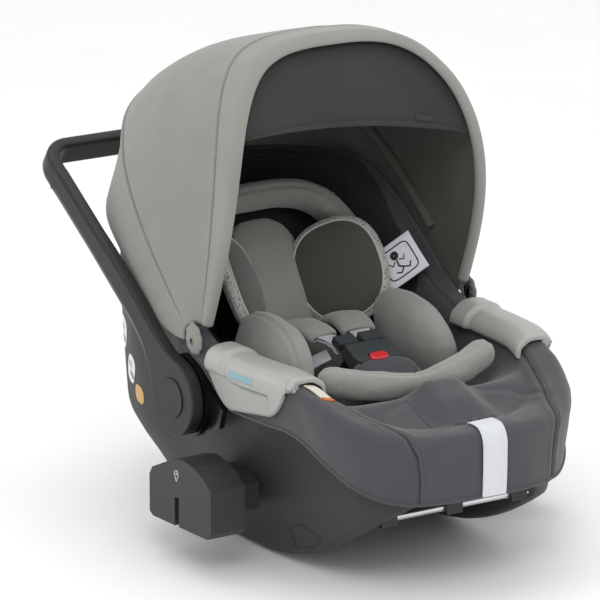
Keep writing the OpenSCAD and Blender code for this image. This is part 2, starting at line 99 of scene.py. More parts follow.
def resample(path, n, closed=False):
    """n points at equal spacing along a polyline of shape (k, 3)."""
    p = np.asarray(path, float)
    if closed:
        p = np.vstack([p, p[:1]])
    d = np.concatenate([[0], np.cumsum(np.linalg.norm(np.diff(p, axis=0), axis=1))])
    s = np.linspace(0, d[-1], n + 1)[:-1] if closed else np.linspace(0, d[-1], n)
    return np.stack([np.interp(s, d, p[:, i]) for i in range(p.shape[1])], 1)


def relax(p, passes, axis=0, closed=False):
    """Rounds a polyline or one direction of a grid."""
    p = np.moveaxis(np.array(p, float), axis, 0)
    for _ in range(passes):
        if closed:
            p = (np.roll(p, 1, 0) + 2 * p + np.roll(p, -1, 0)) / 4
        else:
            p[1:-1] = (p[:-2] + 2 * p[1:-1] + p[2:]) / 4
    return np.moveaxis(p, 0, axis)


def smooth_path(points, n, passes=12, closed=False):
    return resample(relax(resample(points, 4 * n, closed), passes, closed=closed), n, closed)


def unit(v):
    return v / np.maximum(np.linalg.norm(v, axis=-1, keepdims=True), 1e-9)


def grid_normals(p, wrap=False):
    """Unit normals of a grid of points, along rows x columns."""
    du = np.gradient(p, axis=0)
    dv = (np.roll(p, -1, 1) - np.roll(p, 1, 1)) if wrap else np.gradient(p, axis=1)
    return unit(np.cross(du, dv))


def outward(normals, at, direction):
    """The normals, turned so that the one numbered at points along the direction."""
    return normals if normals[at] @ np.asarray(direction, float) > 0 else -normals


# ---------- transforms, as in OpenSCAD ----------
def move(x, y, z):
    m = np.eye(4)
    m[:3, 3] = (x, y, z)
    return m


def turn(ax=0, ay=0, az=0):
    m = np.eye(4)
    for a, (i, j) in ((ax, (1, 2)), (ay, (2, 0)), (az, (0, 1))):
        r = np.eye(4)
        c, s = math.cos(math.radians(a)), math.sin(math.radians(a))
        r[i, i] = r[j, j] = c
        r[i, j], r[j, i] = -s, s
        m = r @ m
    return m


def put(m, p):
    p = np.asarray(p, float)
    return p @ m[:3, :3].T + m[:3, 3]


ON_BACK = move(0, 150, 281) @ turn(math.degrees(math.atan(1.45)))


# ---------- meshes ----------
def make(name, verts, faces, mats, body=SEAT, index=None, flat_shaded=False, replaces=()):
    v = np.asarray(verts, float) * 0.001
    v[:, 1] += BASE_Y * 0.001
    mesh = bpy.data.meshes.new(name)
    mesh.from_pydata(v.tolist(), [], [list(map(int, f)) for f in faces])
    for m in mats if isinstance(mats, list) else [mats]:
        mesh.materials.append(MATERIALS[m])
    if index is not None:
        mesh.polygons.foreach_set("material_index", np.asarray(index, np.int32))
    mesh.polygons.foreach_set("use_smooth", [not flat_shaded] * len(mesh.polygons))
    mesh.validate()
    mesh.update()
    obj = bpy.data.objects.new(name, mesh)
    bpy.context.scene.collection.objects.link(obj)
    if body:
        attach(obj, body)
    if replaces:
        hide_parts(*replaces)
    return obj


def quads(nu, nv, start=0, wrap_u=False, wrap_v=False, reverse=False):
    i, j = np.meshgrid(np.arange(nu if wrap_u else nu - 1), np.arange(nv if wrap_v else nv - 1),
                       indexing="ij")
    i, j = i.ravel(), j.ravel()
    a, b = (i + 1) % nu, (j + 1) % nv
    f = np.stack([i * nv + j, i * nv + b, a * nv + b, a * nv + j], 1) + start
    return f[:, ::-1] if reverse else f


def capped(rows, cols):
    """Faces of a closed tube of rows x cols points, with a flat face over each end."""
    sides = [list(q) for q in quads(rows, cols, wrap_v=True)]
    return sides + [list(range(cols))[::-1], list(range((rows - 1) * cols, rows * cols))]


def rim_quads(outer, inner, wrap=False):
    """Faces between two loops of vertex numbers."""
    n = len(outer)
    return [[outer[k], outer[(k + 1) % n], inner[(k + 1) % n], inner[k]] for k in range(n if wrap else n - 1)]


def slab(outer, inner):
    """A closed solid between two grids."""
    nu, nv = outer.shape[:2]
    m = nu * nv
    verts = np.concatenate([outer.reshape(-1, 3), inner.reshape(-1, 3)])
    faces = list(quads(nu, nv)) + list(quads(nu, nv, m, reverse=True))
    first, last = np.arange(nv), (nu - 1) * nv + np.arange(nv)
    left, right = np.arange(nu) * nv, np.arange(nu) * nv + nv - 1
    edge = rim_quads(first + m, first) + rim_quads(last, last + m)
    edge += rim_quads(left, left + m) + rim_quads(right + m, right)
    return verts, faces + edge


def tube(path, radius, sides=12, closed=False, up=(0, 0, 1), section=None, ends=True):
    """Vertices and faces of a tube along path; radius may vary.

    section is (k, 2), across and along up, in millimetres."""
    p = np.asarray(path, float)
    n = len(p)
    t = unit(np.roll(p, -1, 0) - np.roll(p, 1, 0)) if closed else unit(np.gradient(p, axis=0))
    up = np.broadcast_to(np.asarray(up, float), p.shape)
    side = unit(np.cross(t, up))
    nrm = unit(np.cross(side, t))
    if section is None:
        a = around(sides)
        section = np.stack([np.cos(a), np.sin(a)], 1)
    section = np.asarray(section, float)
    scale = np.broadcast_to(np.asarray(radius, float).reshape(-1, 1), (n, 1))
    k = section.shape[-2]
    sec = np.broadcast_to(section, (n, k, 2)) * scale[:, :, None]
    v = p[:, None] + side[:, None] * sec[..., :1] + nrm[:, None] * sec[..., 1:]
    if ends and not closed:
        return v.reshape(-1, 3), capped(n, k)
    return v.reshape(-1, 3), [list(f) for f in quads(n, k, wrap_v=True, wrap_u=closed)]


def ring_faces(rows, cols, side):
    """Faces of a closed tube of rows x cols points, turned over where side is -1."""
    sides = [list(q) for q in quads(rows, cols, wrap_v=True, reverse=side < 0)]
    return sides + [list(range(cols))[::side], list(range((rows - 1) * cols, rows * cols))[::-side]]


def join(parts):
    verts, faces, at = [], [], 0
    for v, f in parts:
        verts.append(v)
        faces += [[i + at for i in g] for g in f]
        at += len(v)
    return np.concatenate(verts), faces


def facing(verts, faces, at, direction):
    """The faces, turned over if the one numbered at looks away from the direction."""
    v = np.asarray(verts).reshape(-1, 3)[[int(i) for i in faces[at]]]
    out = np.cross(v[1] - v[0], v[2] - v[0]) @ np.asarray(direction, float) > 0
    return faces if out else [list(f)[::-1] for f in faces]


def coords(mesh, what="co"):
    out = np.empty(len(mesh.vertices) * 3)
    mesh.vertices.foreach_get(what, out)
    return out.reshape(-1, 3)


def smooth(mesh):
    mesh.polygons.foreach_set("use_smooth", [True] * len(mesh.polygons))


def baked(obj):
    """The object's mesh with its modifiers applied."""
    return bpy.data.meshes.new_from_object(obj.evaluated_get(bpy.context.evaluated_depsgraph_get()))


def bvh_of(obj):
    """Search tree over an object's mesh, in the millimetres that make() takes."""
    v = coords(obj.data) * 1000 - (0, BASE_Y, 0)
    return BVHTree.FromPolygons([tuple(x) for x in v], [tuple(f.vertices) for f in obj.data.polygons])


def on_surface(tree, path, lift=0.0):
    """The path moved onto the nearest surface, with its normals."""
    out, nrm = [], []
    for p in path:
        hit, n, _, _ = tree.find_nearest(Vector(p))
        out.append(np.array(hit) + np.array(n) * lift)
        nrm.append(np.array(n))
    return np.array(out), np.array(nrm)


def shot(tree, p, direction):
    hit, n, _, _ = tree.ray_cast(Vector(p), Vector(direction))
    return None if hit is None else (np.array(hit), np.array(n))


def carve(p, nrm, lines, depth=1.6, width=2.2, shoulder=0.7):
    """Sews a channel into points along lines: a groove with a soft shoulder each side."""
    tree = KDTree(sum(len(q) for q in lines))
    k = 0
    for q in lines:
        for x in q:
            tree.insert(Vector(x), k)
            k += 1
    tree.balance()
    flat = p.reshape(-1, 3)
    d = np.array([tree.find(Vector(x))[2] for x in flat]).reshape(p.shape[:-1])
    amount = -depth * bump(d, width) + shoulder * bump(d - 2.6 * width, 1.6 * width)
    return p + nrm * amount[..., None]


def stitch_run(path, nrm, pitch=3.6, length=2.5, r=0.32, lift=0.15):
    """Thread dashes lying on a surface."""
    d = np.linalg.norm(np.diff(path, axis=0), axis=1).sum()
    n = max(2, int(d / pitch))
    fine = resample(np.hstack([path, nrm]), n * 2 + 1)
    parts = []
    for k in range(n):
        a, b = fine[2 * k], fine[min(2 * k + 1, len(fine) - 1)]
        t = unit((b - a)[:3])
        m = unit(a[3:6])
        line = [a[:3] + m * (lift - 0.35), a[:3] + t * 0.4 + m * lift,
                a[:3] + t * (length - 0.4) + m * lift, a[:3] + t * length + m * (lift - 0.35)]
        parts.append(tube(line, r, 5, up=m))
    return join(parts)


# ---------- materials ----------
def rgb(code, k=1.0):
    c = [int(code[i:i + 2], 16) / 255 for i in (1, 3, 5)]
    return [min(1, (x / 12.92 if x <= 0.04045 else ((x + 0.055) / 1.055) ** 2.4) * k) for x in c] + [1]


class Shader:
    def __init__(self, name, **values):
        self.mat = bpy.data.materials.new(name)
        self.mat.use_nodes = True
        self.tree = self.mat.node_tree
        self.bsdf = self.tree.nodes["Principled BSDF"]
        self.where = self.node("ShaderNodeTexCoord").outputs["Object"]
        for k, v in values.items():
            self.bsdf.inputs[k.replace("_", " ")].default_value = v

    def node(self, kind, **inputs):
        n = self.tree.nodes.new(kind)
        for k, v in inputs.items():
            self.feed(n.inputs[k.replace("_", " ")], v)
        return n

    def feed(self, socket, v):
        if isinstance(v, bpy.types.NodeSocket):
            self.tree.links.new(v, socket)
        else:
            socket.default_value = v

    def noise(self, scale, detail=2.0, rough=0.6, where=None):
        n = self.node("ShaderNodeTexNoise", Scale=scale, Detail=detail, Roughness=rough)
        self.feed(n.inputs["Vector"], where or self.where)
        return n.outputs["Fac"]

    def ramp(self, fac, *stops):
        n = self.node("ShaderNodeValToRGB")
        self.feed(n.inputs["Fac"], fac)
        e = n.color_ramp.elements
        while len(e) < len(stops):
            e.new(0.5)
        for el, (at, c) in zip(e, stops):
            el.position = at
            el.color = c
        return n.outputs["Color"]

    def multiply(self, a, b, fac=1.0):
        n = self.node("ShaderNodeMix")
        n.data_type, n.blend_type = "RGBA", "MULTIPLY"
        self.feed(n.inputs[0], fac)
        self.feed(n.inputs[6], a)
        self.feed(n.inputs[7], b)
        return n.outputs[2]

    def math(self, op, a, b=0.0):
        n = self.node("ShaderNodeMath")
        n.operation = op
        self.feed(n.inputs[0], a)
        self.feed(n.inputs[1], b)
        return n.outputs[0]

    def bumps(self, *layers):
        """Each layer is (height, strength, distance in metres)."""
        last = None
        for h, s, d in layers:
            n = self.node("ShaderNodeBump", Height=h, Strength=s, Distance=d)
            if last:
                self.feed(n.inputs["Normal"], last)
            last = n.outputs["Normal"]
        self.feed(self.bsdf.inputs["Normal"], last)

    def colour(self, c):
        self.feed(self.bsdf.inputs["Base Color"], c)

    def roughness(self, rough, spread, scale):
        """Roughness that varies with a noise, by spread in all."""
        self.feed(self.bsdf.inputs["Roughness"], self.math("MULTIPLY_ADD", self.noise(scale, 3.0), spread))
        self.tree.nodes[-1].inputs[2].default_value = rough - spread / 2


def fabric(name, code, contrast=0.13, weave=1500, sheen=0.25, grain=0.35, slub=1.0):
    """Melange cloth: two-tone yarn, a fine weave and slow shade changes."""
    s = Shader(name, Roughness=0.93, Sheen_Weight=sheen, Sheen_Roughness=0.5, Specular_IOR_Level=0.25)
    yarn = s.node("ShaderNodeMapping", Scale=(1.0, 1.0, 2.4))
    s.feed(yarn.inputs["Vector"], s.where)
    fleck = s.noise(weave * 0.55, 3.0, 0.75, yarn.outputs["Vector"])
    tone = s.ramp(fleck, (0.32, rgb(code, 1 - contrast)), (0.5, rgb(code)),
                  (0.7, rgb(code, 1 + contrast * 1.2)))
    slow = s.ramp(s.noise(16, 2.0), (0.3, (0.93, 0.93, 0.93, 1)), (0.7, (1, 1, 1, 1)))
    s.colour(s.multiply(tone, slow, slub))
    cells = s.node("ShaderNodeTexVoronoi", Scale=weave)
    s.feed(cells.inputs["Vector"], s.where)
    s.bumps((s.noise(45, 2.0), 0.12, 0.003), (cells.outputs["Distance"], grain, 0.0005), (fleck, 0.2, 0.0004))
    return s.mat


def mesh_cloth(name, code):
    """Open 3-D mesh fabric with round holes."""
    s = Shader(name, Roughness=0.7, Sheen_Weight=0.2)
    cells = s.node("ShaderNodeTexVoronoi", Scale=330.0)
    s.feed(cells.inputs["Vector"], s.where)
    s.colour(s.ramp(cells.outputs["Distance"], (0.25, rgb(code, 0.35)), (0.45, rgb(code))))
    s.bumps((cells.outputs["Distance"], 0.8, 0.001))
    return s.mat


def webbing(name, code, ribs="X"):
    s = Shader(name, Roughness=0.62, Sheen_Weight=0.35, Specular_IOR_Level=0.45)
    wave = s.node("ShaderNodeTexWave", Scale=260.0, Distortion=0.6, Detail=1.0)
    wave.bands_direction = ribs
    s.feed(wave.inputs["Vector"], s.where)
    s.colour(s.ramp(wave.outputs["Fac"], (0.1, rgb(code, 0.82)), (0.8, rgb(code, 1.06))))
    s.bumps((wave.outputs["Fac"], 0.4, 0.0005), (s.noise(1500), 0.2, 0.0003))
    return s.mat


def plastic(name, code, rough=0.5, grain=0.12, coat=0.0, spec=0.5):
    s = Shader(name, Specular_IOR_Level=spec, Coat_Weight=coat, Coat_Roughness=0.12)
    slow = s.noise(9, 3.0)
    s.colour(s.ramp(slow, (0.3, rgb(code, 0.94)), (0.7, rgb(code, 1.05))))
    s.roughness(rough, 0.12, 60)
    s.bumps((s.noise(2600, 2.0), grain, 0.0003))
    return s.mat


def metal(name, code, rough=0.22):
    s = Shader(name, Metallic=1.0)
    s.colour(s.ramp(s.noise(30, 3.0), (0.3, rgb(code, 0.9)), (0.7, rgb(code, 1.05))))
    s.roughness(rough, 0.14, 400)
    s.bumps((s.noise(900), 0.05, 0.0002))
    return s.mat


MATERIALS = {
    "hood": fabric("hood_cloth", "#858580", 0.09, 1700, 0.2, 0.25),
    "hood_trim": fabric("hood_trim_cloth", "#8a8984", 0.09, 1700, 0.2, 0.25),
    # hood lining: a darker grey cloth of its own, with its colour darkened further as painted shade for the
    # shade inside the hood
    "lining": fabric("hood_lining_painted_shade", "#5c5c57", 0.1, 1700, 0.1, 0.2),
    "valance": fabric("valance_cloth", "#323233", 0.1, 1700, 0.15, 0.2),
    "cover": fabric("cover_cloth", "#47464a", 0.12, 1400, 0.25, 0.3),
    "cover_dark": fabric("cover_cloth_dark", "#2c2b2e", 0.12, 1400, 0.2, 0.3),
    "insert": fabric("insert_cloth", "#8d8c88", 0.12, 1500, 0.35, 0.4),
    "wing": fabric("wing_cloth", "#4a4944", 0.16, 1300, 0.35, 0.45),
    "piping": fabric("white_piping", "#bcbcb7", 0.06, 1800, 0.3, 0.3),
    "airmesh": mesh_cloth("air_mesh", "#a9a9a5"),
    "crotch": fabric("crotch_cloth", "#3f3e43", 0.14, 1400, 0.25, 0.35),
    "thread": fabric("thread", "#6c6b6c", 0.1, 2500, 0.3, 0.3),
    "thread_dark": fabric("thread_dark", "#2c2c2d", 0.1, 2500, 0.2, 0.3),
    "shell": plastic("shell_plastic", "#343331", 0.5, 0.16, spec=0.3),
    "handle": plastic("handle_plastic", "#252423", 0.42, 0.1, spec=0.3),
    "gloss": plastic("gloss_black", "#0d0e0f", 0.2, 0.03, 0.15, 0.3),
    "adapter": plastic("adapter_plastic", "#2b2b2c", 0.48, 0.14, spec=0.4),
    "guide": plastic("guide_plastic", "#9b9d98", 0.38, 0.08),
    "mark": plastic("blue_mark", "#7ea0a8", 0.5, 0.05),
    "black": plastic("black_plastic", "#1b1c1d", 0.42, 0.1),
    "buckle": plastic("buckle_plastic", "#383b3d", 0.38, 0.06, spec=0.35),
    "red": plastic("red_button", "#c3262e", 0.3, 0.02, 0.2),
    "steel": metal("bright_steel", "#d2d4d6"),
    "foam": plastic("foam", "#5b5c5e", 0.85, 0.5),
    "strap": webbing("light_webbing", "#d2d4da"),
    "strap_silver": webbing("silver_webbing", "#b4b6bb", "Y"),
    "label": fabric("label_cloth", "#dfdfe6", 0.04, 2200, 0.4, 0.15),
    "ink": fabric("label_print", "#2b2b33", 0.05, 2200, 0.1, 0.1),
    "tag": fabric("tag_tape", "#cfc9bb", 0.08, 2200, 0.4, 0.3),
    "tag_end": fabric("tag_end", "#c1662c", 0.08, 2200, 0.3, 0.3),
    "decal": plastic("decal_film", "#d9dbd8", 0.35, 0.02),
    "decal_teal": plastic("decal_teal", "#9fb6ae", 0.35, 0.02),
    "decal_amber": plastic("decal_amber", "#c59a55", 0.35, 0.02),
    "decal_grey": plastic("decal_grey", "#7d8083", 0.35, 0.02),
}


def paint(node, mat, bevel=0.0, segments=3):
    """Gives a carried-over CAD node its material and rounded edges."""
    obj = NODES[node]
    obj.data.materials.clear()
    obj.data.materials.append(MATERIALS[mat])
    if bevel:
        b = obj.modifiers.new("edges", "BEVEL")
        b.width, b.segments = bevel * 0.001, segments
        b.limit_method, b.angle_limit = "ANGLE", math.radians(35)
        b.harden_normals = False
        smooth(obj.data)
        s = obj.modifiers.new("shade", "WEIGHTED_NORMAL")
        s.keep_sharp = False


# ---------- camera and light ----------
CAMERA_AT = (-3.198, -4.788 + BASE_Y * 0.001, 1.863)
CAMERA_LOOKS = (0.532, 0.804, -0.267)
camera = bpy.data.objects.new("camera", bpy.data.cameras.new("camera"))
bpy.context.scene.collection.objects.link(camera)
camera.data.lens, camera.data.sensor_width = 300, 36
camera.data.clip_end = 50
camera.location = CAMERA_AT
camera.rotation_euler = Vector(CAMERA_LOOKS).to_track_quat("-Z", "Y").to_euler()
bpy.context.scene.camera = camera

bpy.context.scene.view_settings.view_transform = "Standard"
world = bpy.data.worlds.new("studio")
world.use_nodes = True
world.node_tree.nodes["Background"].inputs["Color"].default_value = (1, 1, 1, 1)
world.node_tree.nodes["Background"].inputs["Strength"].default_value = 1.0
bpy.context.scene.world = world


def area(name, at, size, power, aim=(0, 0, 0.3)):
    light = bpy.data.objects.new(name, bpy.data.lights.new(name, "AREA"))
    light.data.shape, light.data.size, light.data.energy = "DISK", size, power
    light.location = at
    light.rotation_euler = (Vector(aim) - Vector(at)).to_track_quat("-Z", "Y").to_euler()
    bpy.context.scene.collection.objects.link(light)


area("key", (-1.6, -2.2, 2.6), 1.4, 26)
area("fill", (2.4, -1.6, 1.6), 2.0, 8)
area("top", (0.1, 0.5, 3.0), 1.6, 14)
area("rim_light", (-2.4, 1.6, 1.4), 1.0, 8)

ground = Shader("floor", Roughness=0.6)
ground.colour(ground.ramp(ground.noise(3.0), (0.2, (0.86, 0.86, 0.86, 1)), (0.8, (0.9, 0.9, 0.9, 1))))
MATERIALS["floor"] = ground.mat
CORNERS = [(-9000, -9000, 0), (9000, -9000, 0), (9000, 9000, 0), (-9000, 9000, 0)]
floor = make("floor", CORNERS, [[0, 1, 2, 3]], "floor", body=None, flat_shaded=True)

# ---------- tub outlines, the same family as the CAD ----------
HALF_W = 186.0
FRONT, BACK, MID_Y = 344.0, 270.0, -20.0    # reach to the front and back, and where the two halves meet
FRONT_N, BACK_N = 3.0, 2.6                  # how square each half is
HUB = np.array([-8.0, 184.0])               # the handle axis, as y and z
PAD = 8.6                                   # how far the padded cover stands off the tub


def tub_y(a, grow=0.0):
    c = np.cos(np.radians(a))
    return np.where(a < 90, MID_Y + (BACK - MID_Y + grow) * root(c, BACK_N),
                    MID_Y - (FRONT + MID_Y + grow) * root(-c, FRONT_N))


def tub_w(a, grow=0.0):
    s = np.sin(np.radians(a))
    return (HALF_W + grow) * np.where(a < 90, root(s, BACK_N), root(s, FRONT_N))


def front_half_w(y):
    """Half width of the tub at a given y in front of its middle."""
    return HALF_W * (1 - (abs(y - MID_Y) / (FRONT + MID_Y)) ** FRONT_N) ** (1 / FRONT_N)


def rim_z(y):
    return mix(mix(184, 236, ease((y + 345) / 165)), 386, ease((y + 60) / 250))


def keel_z(y):
    return np.where(y < -60, 106 * (np.minimum(y + 60, 0) / 257) ** 2, 0.031 * np.maximum(y - 50, 0) ** 1.65)


def belly_h(y):
    return 4 + 58 * ease((y + 335) / 80) * (1 - ease((y - 30) / 80))


def keel_w(w):
    return np.minimum(132, 0.9 * w)


def side_x(w, y, z):
    t = np.clip((z - keel_z(y)) / (rim_z(y) - keel_z(y)), 0, 1)
    return mix(keel_w(w), w, t ** 0.8)


def seat_z(y):
    r, t = rim_z(y), y - 55
    thigh = mix(126, r - 3, ease((-105 - y) / 190))
    return np.minimum(r - 3, thigh + 1.45 * (np.sqrt(t * t + 45 * 45) + t) / 2)


def cover_edge(y):
    side = mix(119, 183, ease((y + 332) / 150))
    d = y + 8
    lift = np.where(np.abs(d) < 57, 184 + np.sqrt(np.maximum(57 ** 2 - d * d, 0)) - 2, 0)
    r = rim_z(y)
    return np.minimum(r - 4, np.maximum(np.maximum(side, lift), mix(side, r - 5, ease((y + 30) / 60))))


def stations(step=3.0, middle=150):
    """Station angles whose half widths grow evenly at both ends."""
    w = np.arange(2.0, 110, step)
    back = np.degrees(np.arcsin((w / HALF_W) ** (BACK_N / 2)))
    front = 180 - np.degrees(np.arcsin((w / HALF_W) ** (FRONT_N / 2)))
    return np.concatenate([back, np.linspace(back[-1], front[-1], middle + 2)[1:-1], front[::-1]])


def close_ends(nu, nv):
    """Faces that pair the left and right halves of the first and last rows."""
    h = nv // 2
    out = []
    for j in range(h):
        a, b, c, d = j, nv - 1 - j, nv - 2 - j, j + 1
        out.append([a, b, c, d] if c != d else [a, b, c])
        k = (nu - 1) * nv
        out.append([k + a, k + d, k + c, k + b] if c != d else [k + a, k + c, k + b])
    return out


def both(right):
    """A path across the tub from its right half, rim first."""
    return np.concatenate([right * (-1, 1, 1), right[-2::-1]])


# ---------- hard shell ----------
def shell_path(a):
    y, w = float(tub_y(a)), float(tub_w(a))
    r, k = float(rim_z(y)), float(keel_z(y))
    b, h = float(keel_w(w)), float(belly_h(y))
    z = np.linspace(r - 3, k, 26)
    side = np.stack([side_x(w, y, z), np.full(26, y), z], 1)
    foot = np.array([[b * 0.97, y, k], [b * 0.84, y, k], [b * 0.80, y, k + 0.35 * h],
                     [b * 0.76, y, k + 0.92 * h], [b * 0.70, y, k + h],
                     [b * 0.4, y, k + h + 1], [0, y, k + h + 2]])
    return np.concatenate([side, foot])


rows = [both(relax(resample(shell_path(a), 60), 2)) for a in stations(4.0, 110)]
hull = relax(np.array(rows), 2, axis=0)
height = hull[..., 2]
hull[..., 0] *= (1 + 0.14 * ease((hull[..., 1] - 50) / 120) * (1 - ease((height - 290) / 80))
                 * ease((height - 40) / 80))
nu, nv = hull.shape[:2]
faces = list(quads(nu, nv, reverse=True)) + [f[::-1] for f in close_ends(nu, nv)]
faces = facing(hull, faces, nu // 2 * (nv - 1) + 4, (-1, 0, 0))
shell = make("shell_body", hull.reshape(-1, 3), faces, "shell", replaces=["outer_shell"])
solid = shell.modifiers.new("wall", "SOLIDIFY")
solid.thickness, solid.offset = 0.0035, -1
shell_tree = bvh_of(shell)

# ---------- padded seat cover ----------
def cover_path(a, g):
    y0, w = float(tub_y(a)), float(tub_w(a))
    r, e, yo = float(rim_z(y0)), float(cover_edge(y0)), float(tub_y(a, g))
    inset = 21 + g
    x_in, yi = w * max(0.2, 1 - inset / w), float(tub_y(a, -inset))
    low = min(r - 3, float(seat_z(yi))) + g
    z = np.linspace(e, r, 14)
    over = np.stack([side_x(w, y0, z) + g, np.full(14, yo), z], 1)
    crest = [[mix(w + g, x_in, t), mix(yo, yi, t), r + g * (1.0 + 0.25 * math.sin(math.pi * t))]
             for t in (0.12, 0.3, 0.5, 0.7)]
    s = np.radians(np.linspace(4, 90, 26))
    bowl = np.stack([x_in * root(np.cos(s), 3.2), np.full(26, yi),
                     mix(r + g * 0.4, low, root(np.sin(s), 2.2))], 1)
    return np.concatenate([over, crest, bowl])


angles = stations(3.0, 170)
rows = [both(relax(resample(cover_path(a, PAD), 96), 5)) for a in angles]
quilt = relax(relax(np.array(rows), 2, axis=0), 1, axis=1)
quilt_out = outward(grid_normals(quilt), (len(angles) // 2, 4), (-1, 0, 0))
y, z, x = quilt[..., 1], quilt[..., 2], quilt[..., 0]
soft = 1.1 * wobble(quilt, 95, 0.4) + 0.5 * wobble(quilt, 38, 1.9)
front_puff = 5.0 * ease((-150 - y) / 90)
saddle = ease((y + 240) / 20) * ease((-40 - y) / 20) * ease((z - 175) / 12)
hub_side = ease((y + 90) / 30) * ease((np.abs(x) - 150) / 20)
front_puff = front_puff * (1 - ease((y + 250) / 35))
swell = soft * 0.8 * (1 - saddle) * (1 - 0.8 * hub_side)
swell = swell + front_puff * (0.6 + 0.4 * wobble(quilt, 150, 2.0)) - 0.8 * saddle - 0.4 * hub_side
quilt = quilt + quilt_out * swell[..., None]
flat = [tuple(q) for q in quilt.reshape(-1, 3)]
nu, nv = quilt.shape[:2]
faces = facing(quilt, list(quads(nu, nv)) + close_ends(nu, nv), nu // 2 * (nv - 1) + 4, (-1, 0, 0))
cover_tree = BVHTree.FromPolygons(flat, [tuple(map(int, f)) for f in faces])


def cover_line(points, n=160):
    """A line given roughly in space, brought onto the cover; returns its points and normals."""
    path, _ = on_surface(cover_tree, smooth_path(points, n, 20))
    return on_surface(cover_tree, relax(path, 6))


NOSE_SEAM = [(134, -205, 246), (131, -240, 232), (124, -275, 218), (112, -305, 208),
             (103, -330, 196), (100, -350, 176), (99, -356, 150), (98, -350, 108)]
HEAD_SEAM = [(150, -70, 262), (152, -20, 272), (150, 40, 300), (140, 100, 345), (122, 160, 385),
             (96, 210, 396), (50, 238, 396)]
THIGH_SEAM = [(112, -292, 210), (90, -262, 206), (50, -248, 200), (0, -243, 198)]
SEAMS = {}
for side in (-1, 1):
    SEAMS[f"nose_{side}"] = cover_line(np.array(NOSE_SEAM) * (side, 1, 1))
    SEAMS[f"head_{side}"] = cover_line(np.array(HEAD_SEAM) * (side, 1, 1), 200)
half = np.array(THIGH_SEAM)
SEAMS["thigh"] = cover_line(np.concatenate([half * (-1, 1, 1), half[-2::-1]]))
quilt_out = outward(grid_normals(quilt), (len(angles) // 2, 4), (-1, 0, 0))
quilt = carve(quilt, quilt_out, [SEAMS["nose_-1"][0], SEAMS["nose_1"][0]], 2.6, 2.6, 1.2)
quilt = carve(quilt, quilt_out, [SEAMS["thigh"][0]], 1.0, 4.0, 0.6)
quilt = carve(quilt, quilt_out, [SEAMS["head_-1"][0], SEAMS["head_1"][0]], 1.5, 2.4, 0.5)
tone = []
for f in faces:
    c = quilt.reshape(-1, 3)[list(map(int, f))].mean(0)
    tone.append(int(abs(c[0]) < 158 and c[1] > 20))
cover = make("seat_cover_cloth", quilt.reshape(-1, 3), faces, ["cover", "cover_dark"], index=tone,
             replaces=["seat_cover"])
solid = cover.modifiers.new("wadding", "SOLIDIFY")
solid.thickness, solid.offset = 0.0068, -1
cover_tree = bvh_of(cover)
hem = np.concatenate([quilt[:, 0], quilt[::-1, -1]])
hem = relax(hem, 4, closed=True)
v, f = tube(resample(hem, 520, closed=True) + (0, 0, 0.5), 2.3, 8, closed=True)
make("cover_hem", v, f, "cover")
runs = []
for key in ("nose_-1", "nose_1"):
    path, nrm = SEAMS[key]
    runs.append(stitch_run(path + np.cross(nrm, unit(np.gradient(path, axis=0))) * 3.2, nrm))
v, f = join(runs)
make("cover_stitches", v, f, "thread")
threads = []
for key in ("nose_-1", "nose_1", "head_-1", "head_1"):
    path, nrm = on_surface(cover_tree, SEAMS[key][0], 0.15)
    threads.append(tube(relax(path, 3), 0.6, 6, up=nrm))
v, f = join(threads)
make("cover_seam_threads", v, f, "thread_dark")


# ---------- hood ----------
PIVOT = np.array([-28.0, 256.0])
TIP_R = 16.0                                # radius of the hood's tips round the pivot
EDGE_H = 344.0                              # reach of the rear edge
BOW_PHI, BOW_U, SEAM_U = 43.0, 0.25, 0.9    # the rear bow's angle, and where along the hood the seams are
HOOD_W, HOOD_R = (199.3, 190.0), (366.0, 342.0)     # half width and reach at the rear bow and at the rim


def rim_phi(rho):
    return 112 - 26 * (rho / 345) ** 2.2


def hood_point(u, t, inset=0.0, ahead=0.0):
    """Points of the hood, u from rear edge to rim and t degrees across.

    inset moves them inwards and ahead moves them forward out of the rim."""
    u, t, inset, ahead = np.broadcast_arrays(np.asarray(u, float), np.asarray(t, float), inset, ahead)
    n = mix(3.1, 3.3, u)
    k = (u - BOW_U) / (1 - BOW_U)
    w = mix(HOOD_W[0], HOOD_W[1], ease(k))
    h = mix(mix(EDGE_H, HOOD_R[0], np.clip(u / BOW_U, 0, 1) ** 2), HOOD_R[1], ease(k))
    s, c = np.sin(np.radians(t)), np.cos(np.radians(t))
    x = (w - inset) * np.sign(s) * root(np.abs(s), n)
    rho = TIP_R + (h - TIP_R - inset) * root(c, n)
    edge = 22 - 36 * np.clip(1 - rho / 200, 0, 1) ** 1.5
    phi = np.where(u < BOW_U, mix(edge, BOW_PHI, u / BOW_U), mix(BOW_PHI, rim_phi(rho), np.clip(k, 0, 1)))
    f = np.radians(phi)
    return np.stack([x, PIVOT[0] + rho * np.cos(f) - ahead * np.sin(f),
                     PIVOT[1] + rho * np.sin(f) + ahead * np.cos(f)], -1)


def even_t(u, count):
    t = np.linspace(-89.95, 89.95, 6001)
    p = hood_point(u, t)
    d = np.concatenate([[0], np.cumsum(np.linalg.norm(np.diff(p, axis=0), axis=1))])
    return np.interp(np.linspace(0, d[-1], count), d, t)


